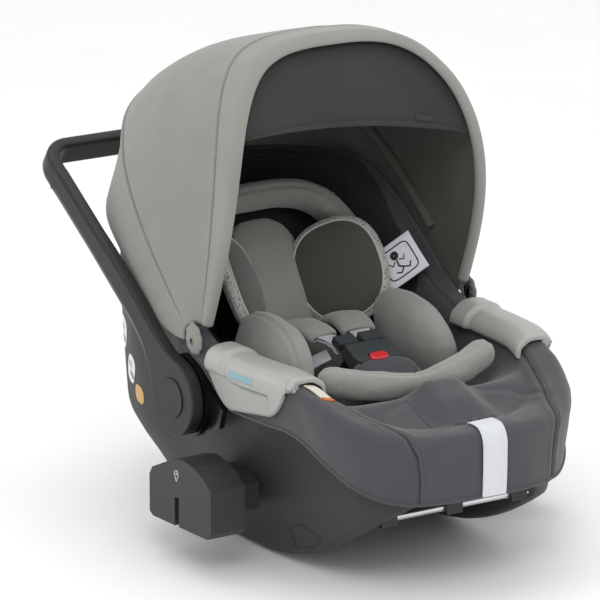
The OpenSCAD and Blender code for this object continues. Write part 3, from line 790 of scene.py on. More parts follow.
across = even_t(0.6, 230)
near = np.array([-13, -9, -6.5, -4.5, -3, -2, -1, 0, 1, 2, 3, 4.5, 6.5, 9, 13])
BOW_SPAN, SEAM_SPAN = 430.0, 400.0          # millimetres of cloth for one unit of u at the two seams
ARC = {BOW_U: 1 / BOW_SPAN, SEAM_U: 1 / SEAM_SPAN}
steps = np.concatenate([np.linspace(0, 1, 88), BOW_U + near * ARC[BOW_U], SEAM_U + near * ARC[SEAM_U]])
steps = np.unique(steps.clip(0, 1).round(5))
hood_face = hood_point(steps[:, None], across[None, :])
hood_out = outward(grid_normals(hood_face), (len(steps) // 2, len(across) // 2), (0, 0, 1))
u_grid = steps[:, None] + 0 * across[None, :]
rho = np.hypot(hood_face[..., 1] - PIVOT[0], hood_face[..., 2] - PIVOT[1])
high = ease((rho - 60) / 120) * ease((188 - np.abs(hood_face[..., 0])) / 30)
d_bow, d_seam = (u_grid - BOW_U) / ARC[BOW_U], (u_grid - SEAM_U) / ARC[SEAM_U]
push = -2.3 * bump(d_bow - 3.4, 1.5) + 1.8 * bump(d_bow + 1.5, 6.0)
push = push - 2.3 * bump(d_seam, 1.5) + 0.5 * bump(np.abs(d_seam) - 5, 4)
push = push * ease((rho - 18) / 40)
between = np.sin(math.pi * np.clip((u_grid - BOW_U) / (SEAM_U - BOW_U), 0, 1))
sag = -4.0 * between * high * np.cos(np.radians(across[None, :])) ** 0.3
sag = sag - 3.0 * np.sin(math.pi * np.clip(u_grid / BOW_U, 0, 1)) * high
phi = np.degrees(np.arctan2(hood_face[..., 2] - PIVOT[1], hood_face[..., 1] - PIVOT[0]))
gather = 2.0 * bump(rho - 16, 60) * np.sin(np.radians(phi) * 13 + 0.4 * np.sin(rho * 0.08))
gather = gather * ease((88.5 - np.abs(across[None, :])) / 3)
folds = 0.9 * wobble(hood_face, 120, 0.7) + 0.35 * wobble(hood_face, 47, 2.2)
hood_face = hood_face + hood_out * (push + sag + gather * 0.6 + folds * high)[..., None]
# inset and ahead of each line round the front roll
roll = [(0.6, 2.4), (2.2, 4.2), (4.8, 5.6), (8.0, 6.0), (11.0, 5.0), (13.2, 2.8), (13.8, 0.0), (13.0, -3.5),
        (10.5, -6.5)]
front = np.array([hood_point(1.0, across, i, a) for i, a in roll])
front = (front + (hood_face[-1] - hood_point(1.0, across))[None]
         * np.linspace(1, 0.2, len(roll))[:, None, None])
behind_rim = steps[::-1] < 0.972
inner_u = steps[::-1][behind_rim]
inner = hood_point(inner_u[:, None], across[None, :], 2.4)
shift = (sag + folds * high)[::-1][behind_rim]
inner = inner + hood_out[::-1][behind_rim] * shift[..., None]
ring = np.concatenate([hood_face, front, inner])
nu, nv = ring.shape[:2]
f = quads(nu, nv, wrap_u=True, reverse=True)
row = np.repeat(np.arange(nu), nv - 1)
trim_from = int(np.searchsorted(steps, SEAM_U))
# rows inside the rim take the lining colour, which is partly the lining's own grey and partly painted shade
index = np.where(row < trim_from, 0, np.where(row < len(steps) + len(roll) - 2, 1, 2))
caps = []
for col in (0, nv - 1):
    k = len(steps) + len(roll)
    outer_idx, inner_idx = list(range(0, len(steps))), list(range(k, nu))[::-1]
    m = min(len(outer_idx), len(inner_idx))
    strip = []
    for q in range(m - 1):
        quad = [outer_idx[q] * nv + col, outer_idx[q + 1] * nv + col, inner_idx[q + 1] * nv + col,
                inner_idx[q] * nv + col]
        strip.append(quad if col else quad[::-1])
    rest = [i * nv + col for i in outer_idx[m - 1:] + list(range(len(steps), k)) + [inner_idx[m - 1]]]
    strip.append(rest if col else rest[::-1])
    caps += strip
hood = make("hood_canopy", ring.reshape(-1, 3), list(f) + caps, ["hood", "hood_trim", "lining"], body=None,
            index=list(index) + [0] * len(caps), replaces=["hood_fabric", "hood_front_band", "hood_rim"])


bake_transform(hood)
cut = (float(np.linalg.norm(np.cross(np.diff(hood_face, axis=0)[:, :-1], np.diff(hood_face, axis=1)[:-1]),
                            axis=-1).sum()) * 1e-6)

# thread in the two hood seams, on the body each seam follows
for which, u0, off, who in (("rear", BOW_U, 3.4, SEAT), ("front", SEAM_U, 0.0, "hood_front")):
    seam_row = int(np.argmin(np.abs(steps - (u0 + off * ARC[u0]))))
    line = hood_face[seam_row, 4:-4] + hood_out[seam_row, 4:-4] * 0.25
    v, f = tube(line, 0.55, 6, up=hood_out[seam_row, 4:-4])
    make(f"hood_seam_{which}", v, f, "thread_dark", body=who)
    near_row = int(np.argmin(np.abs(steps - (u0 + (off + 3.8) * ARC[u0]))))
    v, f = stitch_run(hood_face[near_row, 6:-6], hood_out[near_row, 6:-6], 3.6, 2.4, 0.3)
    make(f"hood_stitches_{which}", v, f, "thread", body=who)


# ---------- sun flap inside the rim ----------
def flap_point(x, v):
    n, w, h = 3.3, HOOD_W[1] - 9, HOOD_R[1] - 9
    low = 240 - 12 * (x / 158) ** 2 - 13 * x / 158
    top = TIP_R + (h - TIP_R) * (1 - np.minimum(np.abs(x) / w, 1) ** n) ** (1 / n) - 1
    rho = mix(low, top, v)
    a = np.radians(rim_phi(rho) - 2.2)
    return np.stack([x + 0 * v, PIVOT[0] + rho * np.cos(a), PIVOT[1] + rho * np.sin(a)], -1)


def flap_ripple(points, x, v):
    return 2.6 * (1 - v) ** 1.5 * np.sin(x * 0.045 + 0.8) + 1.2 * wobble(points, 90, 3.1) * (1 - v ** 4)


xs, vs = np.linspace(-166, 166, 150), np.concatenate([np.linspace(0, 0.1, 10)[:-1], np.linspace(0.1, 1, 46)])
face = flap_point(xs[:, None], vs[None, :])
flap_out = outward(grid_normals(face), (70, 20), (0, -1, 0))
ripple = flap_ripple(face, xs[:, None], vs[None, :])
hemline = -0.9 * bump((vs[None, :] - 0.062) * 95, 1.4) + 0.5 * (vs[None, :] < 0.06)
outer = face + flap_out * (ripple + hemline + 1.0)[..., None]
back = face + flap_out * (ripple - 0.6)[..., None]
v, f = slab(outer, back)
flap = make("hood_sun_flap", v, f, "valance", body="hood_front", replaces=["hood_valance"])
path = outer[:, 8]
v, f = stitch_run(path[3:-3], flap_out[3:-3, 8], 3.4, 2.4, 0.3)
make("flap_stitches", v, f, "thread_dark", body="hood_front")
tx, tv = np.linspace(93, 117, 12), np.linspace(0.085, 0.175, 5)
tp = flap_point(tx[:, None], tv[None, :])
tn = outward(grid_normals(tp), (5, 2), (0, -1, 0))
rip = flap_ripple(tp, tx[:, None], tv[None, :])
v, f = slab(tp + tn * (rip + 2.0)[..., None], tp + tn * (rip + 0.8)[..., None])
make("flap_tag", v, f, "black", body="hood_front")

# ---------- bow sleeve seen from inside, and the pivots ----------
t = even_t(BOW_U, 260)
t = t[(np.abs(t) < 84)]
mid = hood_point(BOW_U, t, 6.5)
a = math.radians(BOW_PHI)
sec = np.array([[math.cos(b) * 6.5, math.sin(b) * 5.2] for b in around(14)])
v, f = tube(mid, 1.0, up=(0, -math.sin(a), math.cos(a)), section=sec)
# the bow sleeve inside the hood takes the lining colour, partly painted shade
make("hood_bow_sleeve", v, f, "lining", replaces=["hood_rear_bow"])
mid_n = unit(hood_point(BOW_U, t, 8) - hood_point(BOW_U, t, 4))
parts = []
for shift in (-8.2, 8.2):
    e = hood_point(BOW_U + shift / BOW_SPAN, t, 3.2)
    parts.append(stitch_run(e, mid_n, 3.6, 2.5, 0.35))
v, f = join(parts)
make("hood_sleeve_stitches", v, f, "thread_dark")
for side, mark in SIDES:
    paint(f"hood_clip_{mark}", "hood", 0.8)
    # cloth gathered round the pivot
    q = around(72)
    prof = [(3, 5.0), (8, 4.6), (12, 3.4), (15, 1.4), (16.5, -1.5), (13, -2.6), (8, -2.4)]
    rings = []
    for r, h in prof:
        rr = r + 0.7 * np.sin(q * 9 + r * 0.1) * (r / 16)
        stretch = 1 + 0.35 * np.maximum(0, np.cos(q - math.radians(75))) ** 2
        rings.append(np.stack([np.full(72, side * (197.2 + h * 0.75)), PIVOT[0] + rr * stretch * np.cos(q),
                               PIVOT[1] - 1 + rr * stretch * np.sin(q)], 1))
    g = np.array(rings)
    make(f"hood_gather_{mark}", g.reshape(-1, 3), ring_faces(len(prof), 72, side), "hood")

# ---------- carry handle ----------
SLOPE = math.radians(33.8)
ALONG = np.array([math.cos(SLOPE), math.sin(SLOPE)])
ARM_X0, ARM_X1, ARM_W = 200.0, 216.0, 34.0
ARM_POINTS = 420
RECESS = ((208.5, 24.5), (216.0, 24.5), (219, 24.9))    # x and radius of the round recess in each arm


def arm_at(s, off):
    return [175.5 + s * ALONG[0] - off * ALONG[1], 334 + s * ALONG[1] + off * ALONG[0]]


arc = [[HUB[0] + 46 * math.cos(math.radians(d)), HUB[1] + 46 * math.sin(math.radians(d))]
       for d in range(104, 352, 4)]
rear = [[40, 188], [46, 203], [62, 228], [88, 251], [117, 272], arm_at(0, -ARM_W / 2),
        arm_at(60, -ARM_W / 2), arm_at(107, -ARM_W / 2)]
fore = [arm_at(107, ARM_W / 2), arm_at(60, ARM_W / 2), arm_at(0, ARM_W / 2), [141, 333], [100, 306],
        [66, 281], [34, 255], [4, 236]]
outline = relax(resample(np.array(arc + rear + fore), ARM_POINTS, closed=True), 6, closed=True)
tan = unit(np.roll(outline, -1, 0) - np.roll(outline, 1, 0))
inward = np.stack([-tan[:, 1], tan[:, 0]], 1)
on_arm = ease((outline @ ALONG - 105) / 110)
rear_side = (inward @ np.array([-ALONG[1], ALONG[0]])) > 0.5
cham = relax(np.where(rear_side, 1.5 + 9.0 * on_arm, 1.6 + 1.4 * on_arm)[:, None], 40, closed=True)[:, 0]
deep = relax(np.where(rear_side, 1.5 + 3.5 * on_arm, 1.6 + 1.6 * on_arm)[:, None], 40, closed=True)[:, 0]


def arm_ring(x, inset):
    q = outline + inward * np.asarray(inset).reshape(-1, 1)
    return np.column_stack([np.full(ARM_POINTS, 1.0) * x, q])


for side, mark in SIDES:
    levels = [(ARM_X0, 2.6), (ARM_X0 + 0.5, 1.0), (ARM_X0 + 1.8, 0.0), (ARM_X1 - deep - 0.9, 0.0),
              (ARM_X1 - deep, cham * 0.10),
              (ARM_X1 - deep * 0.2, cham * 0.86), (ARM_X1, cham * 1.12), (ARM_X1 + 0.05, cham * 1.12 + 1.2)]
    g = np.array([arm_ring(side * x, i) for x, i in levels])
    f = ring_faces(len(levels), ARM_POINTS, side)
    arm = make(f"handle_arm_body_{mark}", g.reshape(-1, 3), f, "handle", body=None)
    q = around(96)
    cut = [np.stack([np.full(96, side * x), HUB[0] + r * np.cos(q), HUB[1] + r * np.sin(q)], 1)
           for x, r in RECESS]
    f = ring_faces(len(RECESS), 96, -side)
    tool = make(f"cutter_{mark}", np.array(cut).reshape(-1, 3), f, "handle", body=None)
    b = arm.modifiers.new("recess", "BOOLEAN")
    b.operation, b.object, b.solver = "DIFFERENCE", tool, "EXACT"
    bpy.context.view_layer.update()
    flat_mesh = baked(arm)
    arm.modifiers.clear()
    arm.data = flat_mesh
    bpy.data.objects.remove(tool)
    smooth(arm.data)
    arm.data.set_sharp_from_angle(angle=math.radians(28))
    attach(arm, "handle")
    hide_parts(f"handle_arm_{mark}")
    paint(f"handle_button_{mark}", "handle", 0.9)
    paint(f"hub_base_{mark}", "gloss", 2.2, 4)
    paint(f"hub_pin_{mark}", "steel", 0.5)
    paint(f"lock_ring_{mark}", "steel", 0.3)

turn_a = np.radians(np.linspace(0, 90, 26))
GRIP_X, CORNER_R, GRIP_REACH = 208.0, 30.0, 147.0
corner = np.stack([GRIP_X - CORNER_R * (1 - np.cos(turn_a)),
                   GRIP_REACH - CORNER_R + CORNER_R * np.sin(turn_a)], 1)
plan = np.concatenate([[[GRIP_X, 98.0], [GRIP_X, 104.0], [GRIP_X, 110.0]], corner])
plan = np.concatenate([plan * (-1, 1),
                       resample(np.array([[-(GRIP_X - CORNER_R) + 2, GRIP_REACH],
                                          [GRIP_X - CORNER_R - 2, GRIP_REACH]]), 60), plan[::-1]])
path = np.array([[p[0], *arm_at(p[1], 0)] for p in plan])
sec = np.array([(-8, -15), (-7.2, -16.4), (-5.8, -17), (2.0, -17), (3.2, -16.4), (7.2, -8.6), (8, -6.6),
                (8, 13.0), (7.2, 15.2), (5.2, 16.6),
                (3.6, 17), (-5.8, 17), (-7.2, 16.4), (-8, 15)], float)
sec = relax(resample(sec, 44, closed=True), 1, closed=True)
nrm = np.array([0, -ALONG[1], ALONG[0]])
tt = unit(np.gradient(path, axis=0))
side_dir = outward(unit(np.cross(tt, nrm)), 3, (-1, 0, 0))
v = (path[:, None] + side_dir[:, None] * sec[None, :, :1] + nrm * sec[None, :, 1:]).reshape(-1, 3)
k = len(sec)
f = capped(len(path), k)
grip = make("handle_grip_body", v, f, "handle", body="handle", replaces=["handle_grip"])
grip.data.set_sharp_from_angle(angle=math.radians(50))

# ---------- base bar, clips, adapters ----------
paint("base_bar", "steel", 0.4)
paint("bar_clips", "black", 1.2)
for side, mark in SIDES:
    paint(f"adapter_{mark}", "adapter", 3.2, 4)
    pin = [(side * 250.3, -72 + 4.2 * math.sin(a), 113 + 4.2 * math.cos(a))
           for a in np.linspace(-2.35, 2.35, 26)]
    pin += [(side * 250.3, -72 + 1.4, 106.4), (side * 250.3, -72, 103.6), (side * 250.3, -72 - 1.4, 106.4)]
    v1 = tube(relax(resample(np.array(pin), 60, closed=True), 1, closed=True), 0.42, 6, closed=True,
              up=(1, 0, 0))
    dot = tube([(side * 250.1, -72, 113), (side * 250.5, -72, 113)], 1.3, 16, up=(0, 0, 1))
    v, f = join([v1, dot])
    make(f"adapter_mark_{mark}", v, f, "decal")

# ---------- belt guides ----------
GUIDE_FRONT, GUIDE_REAR = -214.0, -60.0
GUIDE_COLS = 120


def guide_low(y):
    """Height of the saddle's lower outside edge, rounded at both ends."""
    front = 52 * np.clip(1 - (y - GUIDE_FRONT) / 50, 0, 1) ** 2
    rear = 44 * np.clip(1 - (GUIDE_REAR - y) / 34, 0, 1) ** 2.2
    return 186 + 10 * np.clip((-92 - y) / 73, 0, 1) + front + rear


def guide_grid(side):
    """Face of the saddle that hugs the padded rim, from its lower outside edge to the inside.

    Returns the points and the heights of the relief to add to them."""
    rows, relief = [], []
    for u in np.linspace(0, 1, 110):
        y = mix(GUIDE_FRONT, GUIDE_REAR, u)
        w = front_half_w(y)
        r, g = float(rim_z(np.array(y))), PAD
        z = np.linspace(float(guide_low(y)), r, 14)
        x_in = w - 21 - g
        pts = [(float(side_x(w, np.array(y), np.array(h))) + g, h) for h in z]
        pts += [(mix(w + g, x_in, t), r + g * (1 + 0.25 * math.sin(math.pi * t)))
                for t in (0.12, 0.3, 0.5, 0.7)]
        pts += [(x_in + 0.5, r + g * 0.4), (x_in, r - 5)]
        p = relax(resample(np.array(pts), 60), 7)
        t = unit(np.gradient(p, axis=0))
        p = resample(p + np.stack([t[:, 1], -t[:, 0]], 1) * 5.6, GUIDE_COLS)
        outside = np.arange(GUIDE_COLS) < np.argmax(p[:, 1])
        ledge = 225 + 5 * float(ease((y + 130) / 40))
        over = np.where(outside, p[:, 1] - ledge, 40)
        step = ease((over + 1.2) / 2.4)
        front, rear = float(ease((-170 - y) / 12)), float(ease((y + 96) / 7))
        h = 3.2 * np.maximum(step, front) - 3.4 * bump(over + 1.8, 1.7) * (1 - front) * (1 - rear)
        h = h + 3.4 * rear * ease((over + 2) / 14) - 1.3 * bump(y + 99, 3.0) * step
        k = np.arange(GUIDE_COLS) / (GUIDE_COLS - 1)
        edge = np.minimum(np.minimum(y - GUIDE_FRONT, GUIDE_REAR - y), np.minimum(k, 1 - k) * 80)
        h = h - 1.8 * np.clip(1 - edge / 3.0, 0, 1) ** 2
        rows.append(np.stack([side * p[:, 0], np.full(GUIDE_COLS, y), p[:, 1]], 1))
        relief.append(h)
    return np.array(rows), np.array(relief)


for side, mark in SIDES:
    g, relief = guide_grid(side)
    n = outward(grid_normals(g), (30, 6), (side, 0, 0))
    outer = g + n * relief[..., None]
    inner = g - n * 3.0
    v, f = slab(outer, inner)
    if side > 0:
        f = [list(q)[::-1] for q in f]
    guide = make(f"belt_guide_saddle_{mark}", v, f, "guide", replaces=[f"belt_guide_{mark}"])
    guide.data.set_sharp_from_angle(angle=math.radians(55))
    tree = bvh_of(guide)
    first = [int(np.argmax(row[:, 2] > 231)) for row in outer]
    mark_rows = range(43, 75)
    patch = np.array([[outer[a, first[a] + b] for b in range(8)] for a in mark_rows])
    pn = np.array([[n[a, first[a] + b] for b in range(8)] for a in mark_rows])
    v, f = slab(patch + pn * 0.35, patch - pn * 0.4)
    make(f"guide_mark_{mark}", v, f, "mark")

# ---------- cushions ----------
CLOTH_FRAMES = 20


def ellipsoid(size, n, rows=28, cols=44):
    a = np.radians(np.linspace(-88.5, 88.5, rows))[:, None]
    b = around(cols)[None, :]
    s = root(np.cos(a), n)
    x = size[0] / 2 * s * power(np.cos(b), n)
    y = size[1] / 2 * s * power(np.sin(b), n)
    z = size[2] / 2 * np.sign(a) * root(np.abs(np.sin(a)), n) + 0 * b
    v = np.stack([x, y, z], -1).reshape(-1, 3)
    return v, capped(rows, cols)


def puff(obj, voxel=0.005, pressure=4.0, cap=4.0):
    """Blows a closed form up as cloth, with how far a point may move capped in millimetres."""
    me = obj.modifiers.new("remesh", "REMESH")
    me.mode, me.voxel_size = "VOXEL", voxel
    bpy.context.view_layer.update()
    base = baked(obj)
    obj.modifiers.clear()
    obj.data = base
    c = obj.modifiers.new("cloth", "CLOTH")
    st = c.settings
    st.use_pressure, st.uniform_pressure_force, st.quality = True, pressure, 4
    st.effector_weights.gravity = 0
    st.tension_stiffness = st.compression_stiffness = 22
    st.bending_stiffness = 0.6
    st.mass = 0.25
    c.collision_settings.use_collision = False
    c.collision_settings.use_self_collision = False
    scene = bpy.context.scene
    for k in range(1, CLOTH_FRAMES + 1):
        scene.frame_set(k)
    after = baked(obj)
    start = coords(base)
    swell = coords(after) - start
    far = np.linalg.norm(swell, axis=1, keepdims=True)
    end = start + swell * np.minimum(1, cap * 0.001 / np.maximum(far, 1e-9))
    obj.modifiers.clear()
    bpy.data.meshes.remove(after)
    scene.frame_set(1)
    obj.data.vertices.foreach_set("co", end.ravel())
    smooth(obj.data)
    obj.data.update()


def settle(obj, lines, depth=1.8, width=2.4, wrinkle=0.5, wave=42):
    """Subdivides once, adds slight creases and sews channels along the lines; works on the final mesh."""
    s = obj.modifiers.new("fine", "SUBSURF")
    s.levels = s.render_levels = 1
    bpy.context.view_layer.update()
    fine = baked(obj)
    obj.modifiers.clear()
    obj.data = fine
    co, no = coords(obj.data) * 1000 - (0, BASE_Y, 0), coords(obj.data, "normal")
    co = co + no * (wrinkle * wobble(co, wave, 0.9) + 0.35 * wrinkle * wobble(co, wave * 0.4, 2.3))[:, None]
    if lines:
        co = carve(co, no, lines, depth, width)
    obj.data.vertices.foreach_set("co", ((co + (0, BASE_Y, 0)) * 0.001).ravel())
    smooth(obj.data)
    obj.data.update()


def copy_mirrored(obj, name, body, node):
    mesh = obj.data.copy()
    mesh.name = name
    mesh.vertices.foreach_set("co", (coords(mesh) * (-1, 1, 1)).ravel())
    mesh.flip_normals()
    mesh.update()
    twin = bpy.data.objects.new(name, mesh)
    bpy.context.scene.collection.objects.link(twin)
    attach(twin, body)
    if node:
        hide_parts(node)
    return twin


def cushion(name, m, size, n, mat, body, nodes, slot, fill=0.7, shape=None, cap=4.0, seams=(),
            shrink=0.95, **kw):
    """A stuffed pad: a rounded block placed by matrix m, shaped in its own axes, blown up, then sewn."""
    v, f = ellipsoid(np.array(size) * shrink, n)
    if shape:
        v = shape(v)
    obj = make(name, put(m, v), f, mat, body, replaces=nodes)
    puff(obj, cap=cap)
    tree = bvh_of(obj)
    lines = [on_surface(tree, put(m, q))[0] for q in seams]
    settle(obj, lines, **kw)
    return obj


def loop_path(size, n, plane_z, scale):
    """A line round a rounded block of this size, at one height in the block's own axes."""
    count = 220
    b = np.radians(np.linspace(0, 360, count))
    x = size[0] / 2 * scale * power(np.cos(b), n)
    y = size[1] / 2 * scale * power(np.sin(b), n)
    return np.stack([x, y, np.full(count, float(plane_z))], 1)


# side bolsters of the newborn insert: high behind, sloping down in front
BOLSTER = move(-101, -52, 220) @ turn(4, 10, 0) @ turn(0, 90, 0)


def bolster_lean(k):
    return -7 * ease((k + 0.2) / 1.0) + 9 * ease((-k - 0.1) / 0.9)


def bolster_shape(v):
    v = v.copy()
    k = v[:, 1] / 78
    v[:, 0] += bolster_lean(k)
    v[:, 2] *= 1 - 0.12 * k ** 2
    return v


b_seam = loop_path((106, 156, 60), 2.3, 13.0, scale=0.93)
b_seam[:, 0] += bolster_lean(b_seam[:, 1] / 78)
left = cushion("bolster_left", BOLSTER, (106, 156, 60), 2.3, "insert", SEAT, ["insert_bolster_left"],
               "insert_cloth", 0.8, bolster_shape,
               seams=[b_seam * (1, 1, -1)], depth=1.7, width=2.0, wrinkle=0.55)
right = copy_mirrored(left, "bolster_right", SEAT, "insert_bolster_right")

# head wings: dark inner face, white piping and an open mesh band round the side
WING = ON_BACK @ move(-71, -50, 70) @ turn(0, 43, 0)
WING_SIZE = (118, 136, 29)


def wing_shape(v):
    v = v.copy()
    v[:, 2] *= 1 - 0.10 * (v[:, 1] / 62) ** 2
    return v


rows_w, cols_w = 72, 150
v, f = ellipsoid(WING_SIZE, 2.4, rows_w, cols_w)
v = wing_shape(v)
wing_grid = v.reshape(rows_w, cols_w, 3)
lat = wing_grid[:, :, 2].mean(1)
wing_grid = (wing_grid * (1 + 0.012 * np.sin(np.arange(cols_w) * 2 * math.pi / cols_w * 3)[None, :, None]
            * ease((15 - np.abs(wing_grid[..., 2:])) / 12)))
groove = -0.9 * (bump((lat - 7.6) / 1.2, 1.0) + bump((lat + 7.4) / 1.2, 1.0))
radial = wing_grid * (1, 1, 0)
wing_grid = (wing_grid + unit(radial) * groove[:, None, None]
      + np.array([0, 0, 1.0]) * (0.5 * wobble(wing_grid, 55, 1.1) * np.sign(wing_grid[..., 2]))[..., None])
band_of = np.repeat(np.where(lat[:-1] > 7.4, 0, np.where(lat[:-1] > -7.6, 1, 2)), cols_w)
wing = make("head_wing_pad_left", put(WING, wing_grid.reshape(-1, 3)), f, ["wing", "airmesh", "insert"],
            "headrest",
            index=list(band_of) + [2, 0], replaces=["head_wing_left"])


def wing_ring(level, lift):
    ring = wing_grid[int(np.argmin(np.abs(lat - level)))]
    return put(WING, ring + unit(ring * (1, 1, 0)) * lift)


v, f = tube(wing_ring(7.6, 0.9), 1.25, 8, closed=True)
p1 = make("wing_piping_left", v, f, "piping", "headrest")
v, f = tube(wing_ring(-7.4, 0.6), 1.0, 8, closed=True)
p2 = make("wing_piping_back_left", v, f, "insert", "headrest")
twin = copy_mirrored(wing, "head_wing_pad_right", "headrest", "head_wing_right")
copy_mirrored(p1, "wing_piping_right", "headrest", None)
copy_mirrored(p2, "wing_piping_back_right", "headrest", None)

# padded halo round the head
HALO_POINTS = 150
t = np.linspace(-88.5, 88.5, HALO_POINTS)
cosine, sine = np.cos(np.radians(t)), np.sin(np.radians(t))
path = np.stack([113 * np.sign(sine) * root(np.abs(sine), 3), -56 + 123 * root(cosine, 3),
                 np.full(HALO_POINTS, 52.8)], 1)
path = relax(resample(path, HALO_POINTS), 4)
q = around(36)
sec = oval(16, 24, 2.5, q)
k = np.linspace(0, 1, HALO_POINTS)
taper = np.clip(np.minimum(k, 1 - k) / 0.05, 0.0, 1)
v, f = tube(path, (0.35 + 0.65 * np.sqrt(1 - (1 - taper) ** 2)), up=(0, 0, 1), section=sec * 0.97)
halo = make("headrest_halo", put(ON_BACK, v), f, ["insert"], "headrest", replaces=["headrest_pad"])
puff(halo, 0.005, 3.0, 2.5)
tree = bvh_of(halo)
lines = []
for at in (38, 111):
    ring = (path[at] + unit(np.cross(path[at + 1] - path[at - 1], [0, 0, 1.0])) * (17 * np.cos(q))[:, None]
            + np.array([0, 0, 1.0]) * (25 * np.sin(q))[:, None])
    lines.append(on_surface(tree, put(ON_BACK, ring))[0])
top_line = path + np.array([0, 0, 26])
lines.append(on_surface(tree, put(ON_BACK, resample(top_line, 400)))[0])
settle(halo, lines, depth=1.3, width=1.8, wrinkle=0.6, wave=50)

cushion("head_centre_cushion", ON_BACK @ move(0, -30, 32), (106, 156, 24), 3, "insert", "headrest",
        ["head_centre_pad"], "insert_cloth", 0.6, cap=2.5,
        wrinkle=0.5, shrink=0.96)
paint("headrest_board", "black", 2.0)
cushion("insert_back_cushion", ON_BACK @ move(0, -134, 31.8), (132, 66, 22), 3, "insert", SEAT,
        ["insert_back"], "insert_cloth", 0.5, cap=2.5, wrinkle=0.6,
        shrink=0.96)
cushion("insert_seat_cushion", move(0, -56, 163) @ turn(3), (136, 116, 22), 3, "crotch", SEAT,
        ["insert_seat"], "cover_cloth", 0.5, cap=2.5, wrinkle=0.7,
        shrink=0.96)

# front roll: two lobes that meet in a sewn notch
x = np.linspace(-121, 121, 130)
path = np.stack([x, -203 + 26 * (x / 116) ** 2, 214.5 + 17 * (x / 116) ** 2], 1)
k = np.abs(x) / 121
size = ((0.80 + 0.22 * ease((k - 0.05) / 0.5)) * (1 - 0.12 * bump(x, 9))
        * np.sqrt(np.maximum(0.02, 1 - np.clip((k - 0.84) / 0.17, 0, 1) ** 2)))
sec = oval(16.5, 17.5, 2.2, q)
v, f = tube(path, size, up=(0, 0, 1), section=sec)
roll_pad = make("insert_front_pad", v, f, "insert", SEAT, replaces=["insert_front_roll"])
puff(roll_pad, 0.0045, 4.0, 3.0)
tree = bvh_of(roll_pad)
ring = np.array([0, -203, 214.5]) + np.stack([0 * q, 17 * np.cos(q), 17.5 * np.sin(q)], 1)
crown = np.stack([x, path[:, 1] - 6, path[:, 2] + 17], 1)
lines = [on_surface(tree, ring)[0], on_surface(tree, resample(crown, 300))[0]]
settle(roll_pad, lines, depth=1.6, width=2.0, wrinkle=0.7, wave=36)

# crotch pad
CROTCH = move(0, -149, 203) @ turn(28)


def crotch_shape(v):
    v = v.copy()
    k = v[:, 1] / 42
    v[:, 0] *= 1 + 0.10 * k - 0.06 * k * k
    return v


cushion("crotch_cushion", CROTCH, (94, 78, 28), 3, "crotch", SEAT, ["crotch_pad"], "crotch_cloth", 0.55,
        crotch_shape, cap=2.5,
        seams=[loop_path((94, 78, 28), 3, 9, scale=0.86)], depth=1.1, width=1.6, wrinkle=0.4, shrink=0.96)

# ---------- harness ----------
def strap_section(half, thick, cut):
    """A flat strap's section: half its width, half its thickness and how much its edges are cut."""
    near, edge = half - 0.4, thick - cut
    return np.array([(-half, -edge), (-near, -thick), (near, -thick), (half, -edge),
                     (half, edge), (near, thick), (-near, thick), (-half, edge)])


for side, mark in SIDES:
    # shoulder pad: a padded sleeve wrapped round the webbing, open at the front end
    line = smooth_path([(25 * side, -45, 236), (28 * side, -28, 241.5), (32 * side, -8, 243.5),
                        (35 * side, 12, 238), (36 * side, 30, 230)], 60, 30)
    section_points = 40
    circle = around(section_points)
    sec_o = oval(22.5, 7.8, 2.6, circle, 2.4)
    share = np.linspace(0, 1, 60)
    swell = (1 + 0.05 * np.sin(math.pi * share) - 0.10 * bump((share - 0.0) / 0.03, 1.0)
             - 0.12 * bump((share - 1) / 0.05, 1.0))
    v1, f1 = tube(line, swell, up=(0, 0.1, 0.995), section=sec_o, ends=False)
    sec_i = oval(18.5, 3.6, 2.6, circle, 2.2)
    v2, f2 = tube(line, swell, up=(0, 0.1, 0.995), section=sec_i, ends=False)
    inner_at = len(v1)
    f = f1 + [[i + inner_at for i in g][::-1] for g in f2]
    f += (rim_quads(np.arange(section_points) + inner_at, np.arange(section_points), True)
          + rim_quads(np.arange(section_points) + inner_at - section_points,
                      np.arange(section_points) + 2 * inner_at - section_points, True))
    v = np.concatenate([v1, v2])
    sleeve = make(f"shoulder_sleeve_{mark}", v, f, "insert", replaces=[f"shoulder_pad_{mark}"])
    s = sleeve.modifiers.new("soft", "SUBSURF")
    s.levels = s.render_levels = 1
    co = v + 0.7 * wobble(v, 30, side * 1.3)[:, None] * (0, 0.2, 1)
    sleeve.data.vertices.foreach_set("co", ((co + (0, BASE_Y, 0)) * 0.001).ravel())
    # webbing out of the sleeve, doubled back through the tongue
    loops = smooth_path([(27 * side, -38, 238.5), (22 * side, -54, 237), (18 * side, -66, 232),
                         (17 * side, -74, 228)], 40, 24)
    sec_w = strap_section(12.5, 1.0, 0.3)
    v1 = tube(loops, 1.0, up=(0, 0.2, 0.98), section=sec_w)
    v2 = tube(loops - (0, 1.5, 4.0), 1.0, up=(0, 0.2, 0.98), section=sec_w * (0.96, 1))
    v, f = join([v1, v2])
    make(f"shoulder_webbing_{mark}", v, f, "strap_silver", replaces=[f"shoulder_strap_{mark}"])
    lap = smooth_path([(31 * side, -64, 221), (44 * side, -58, 214.5), (60 * side, -50, 203)], 30, 20)
    lap_up = unit(np.array([0.5 * side, 0, 0.86]))
    v, f = tube(lap, 1.0, up=lap_up, section=sec_w)
    make(f"lap_webbing_{mark}", v, f, "strap_silver", replaces=[f"lap_strap_{mark}"])
    paint(f"buckle_tongue_{mark}", "buckle", 1.4)
paint("buckle_body", "buckle", 2.6, 4)
turn_round = around(64)
half_w, half_h = 12.1 * power(np.cos(turn_round), 3.4), 6.6 * power(np.sin(turn_round), 3.0)
levels = [(0.0, 1.0), (5.4, 1.0), (6.4, 0.95), (6.9, 0.84), (7.0, 0.6), (6.8, 0.2)]
BUCKLE = move(0, -108, 214) @ turn(24)
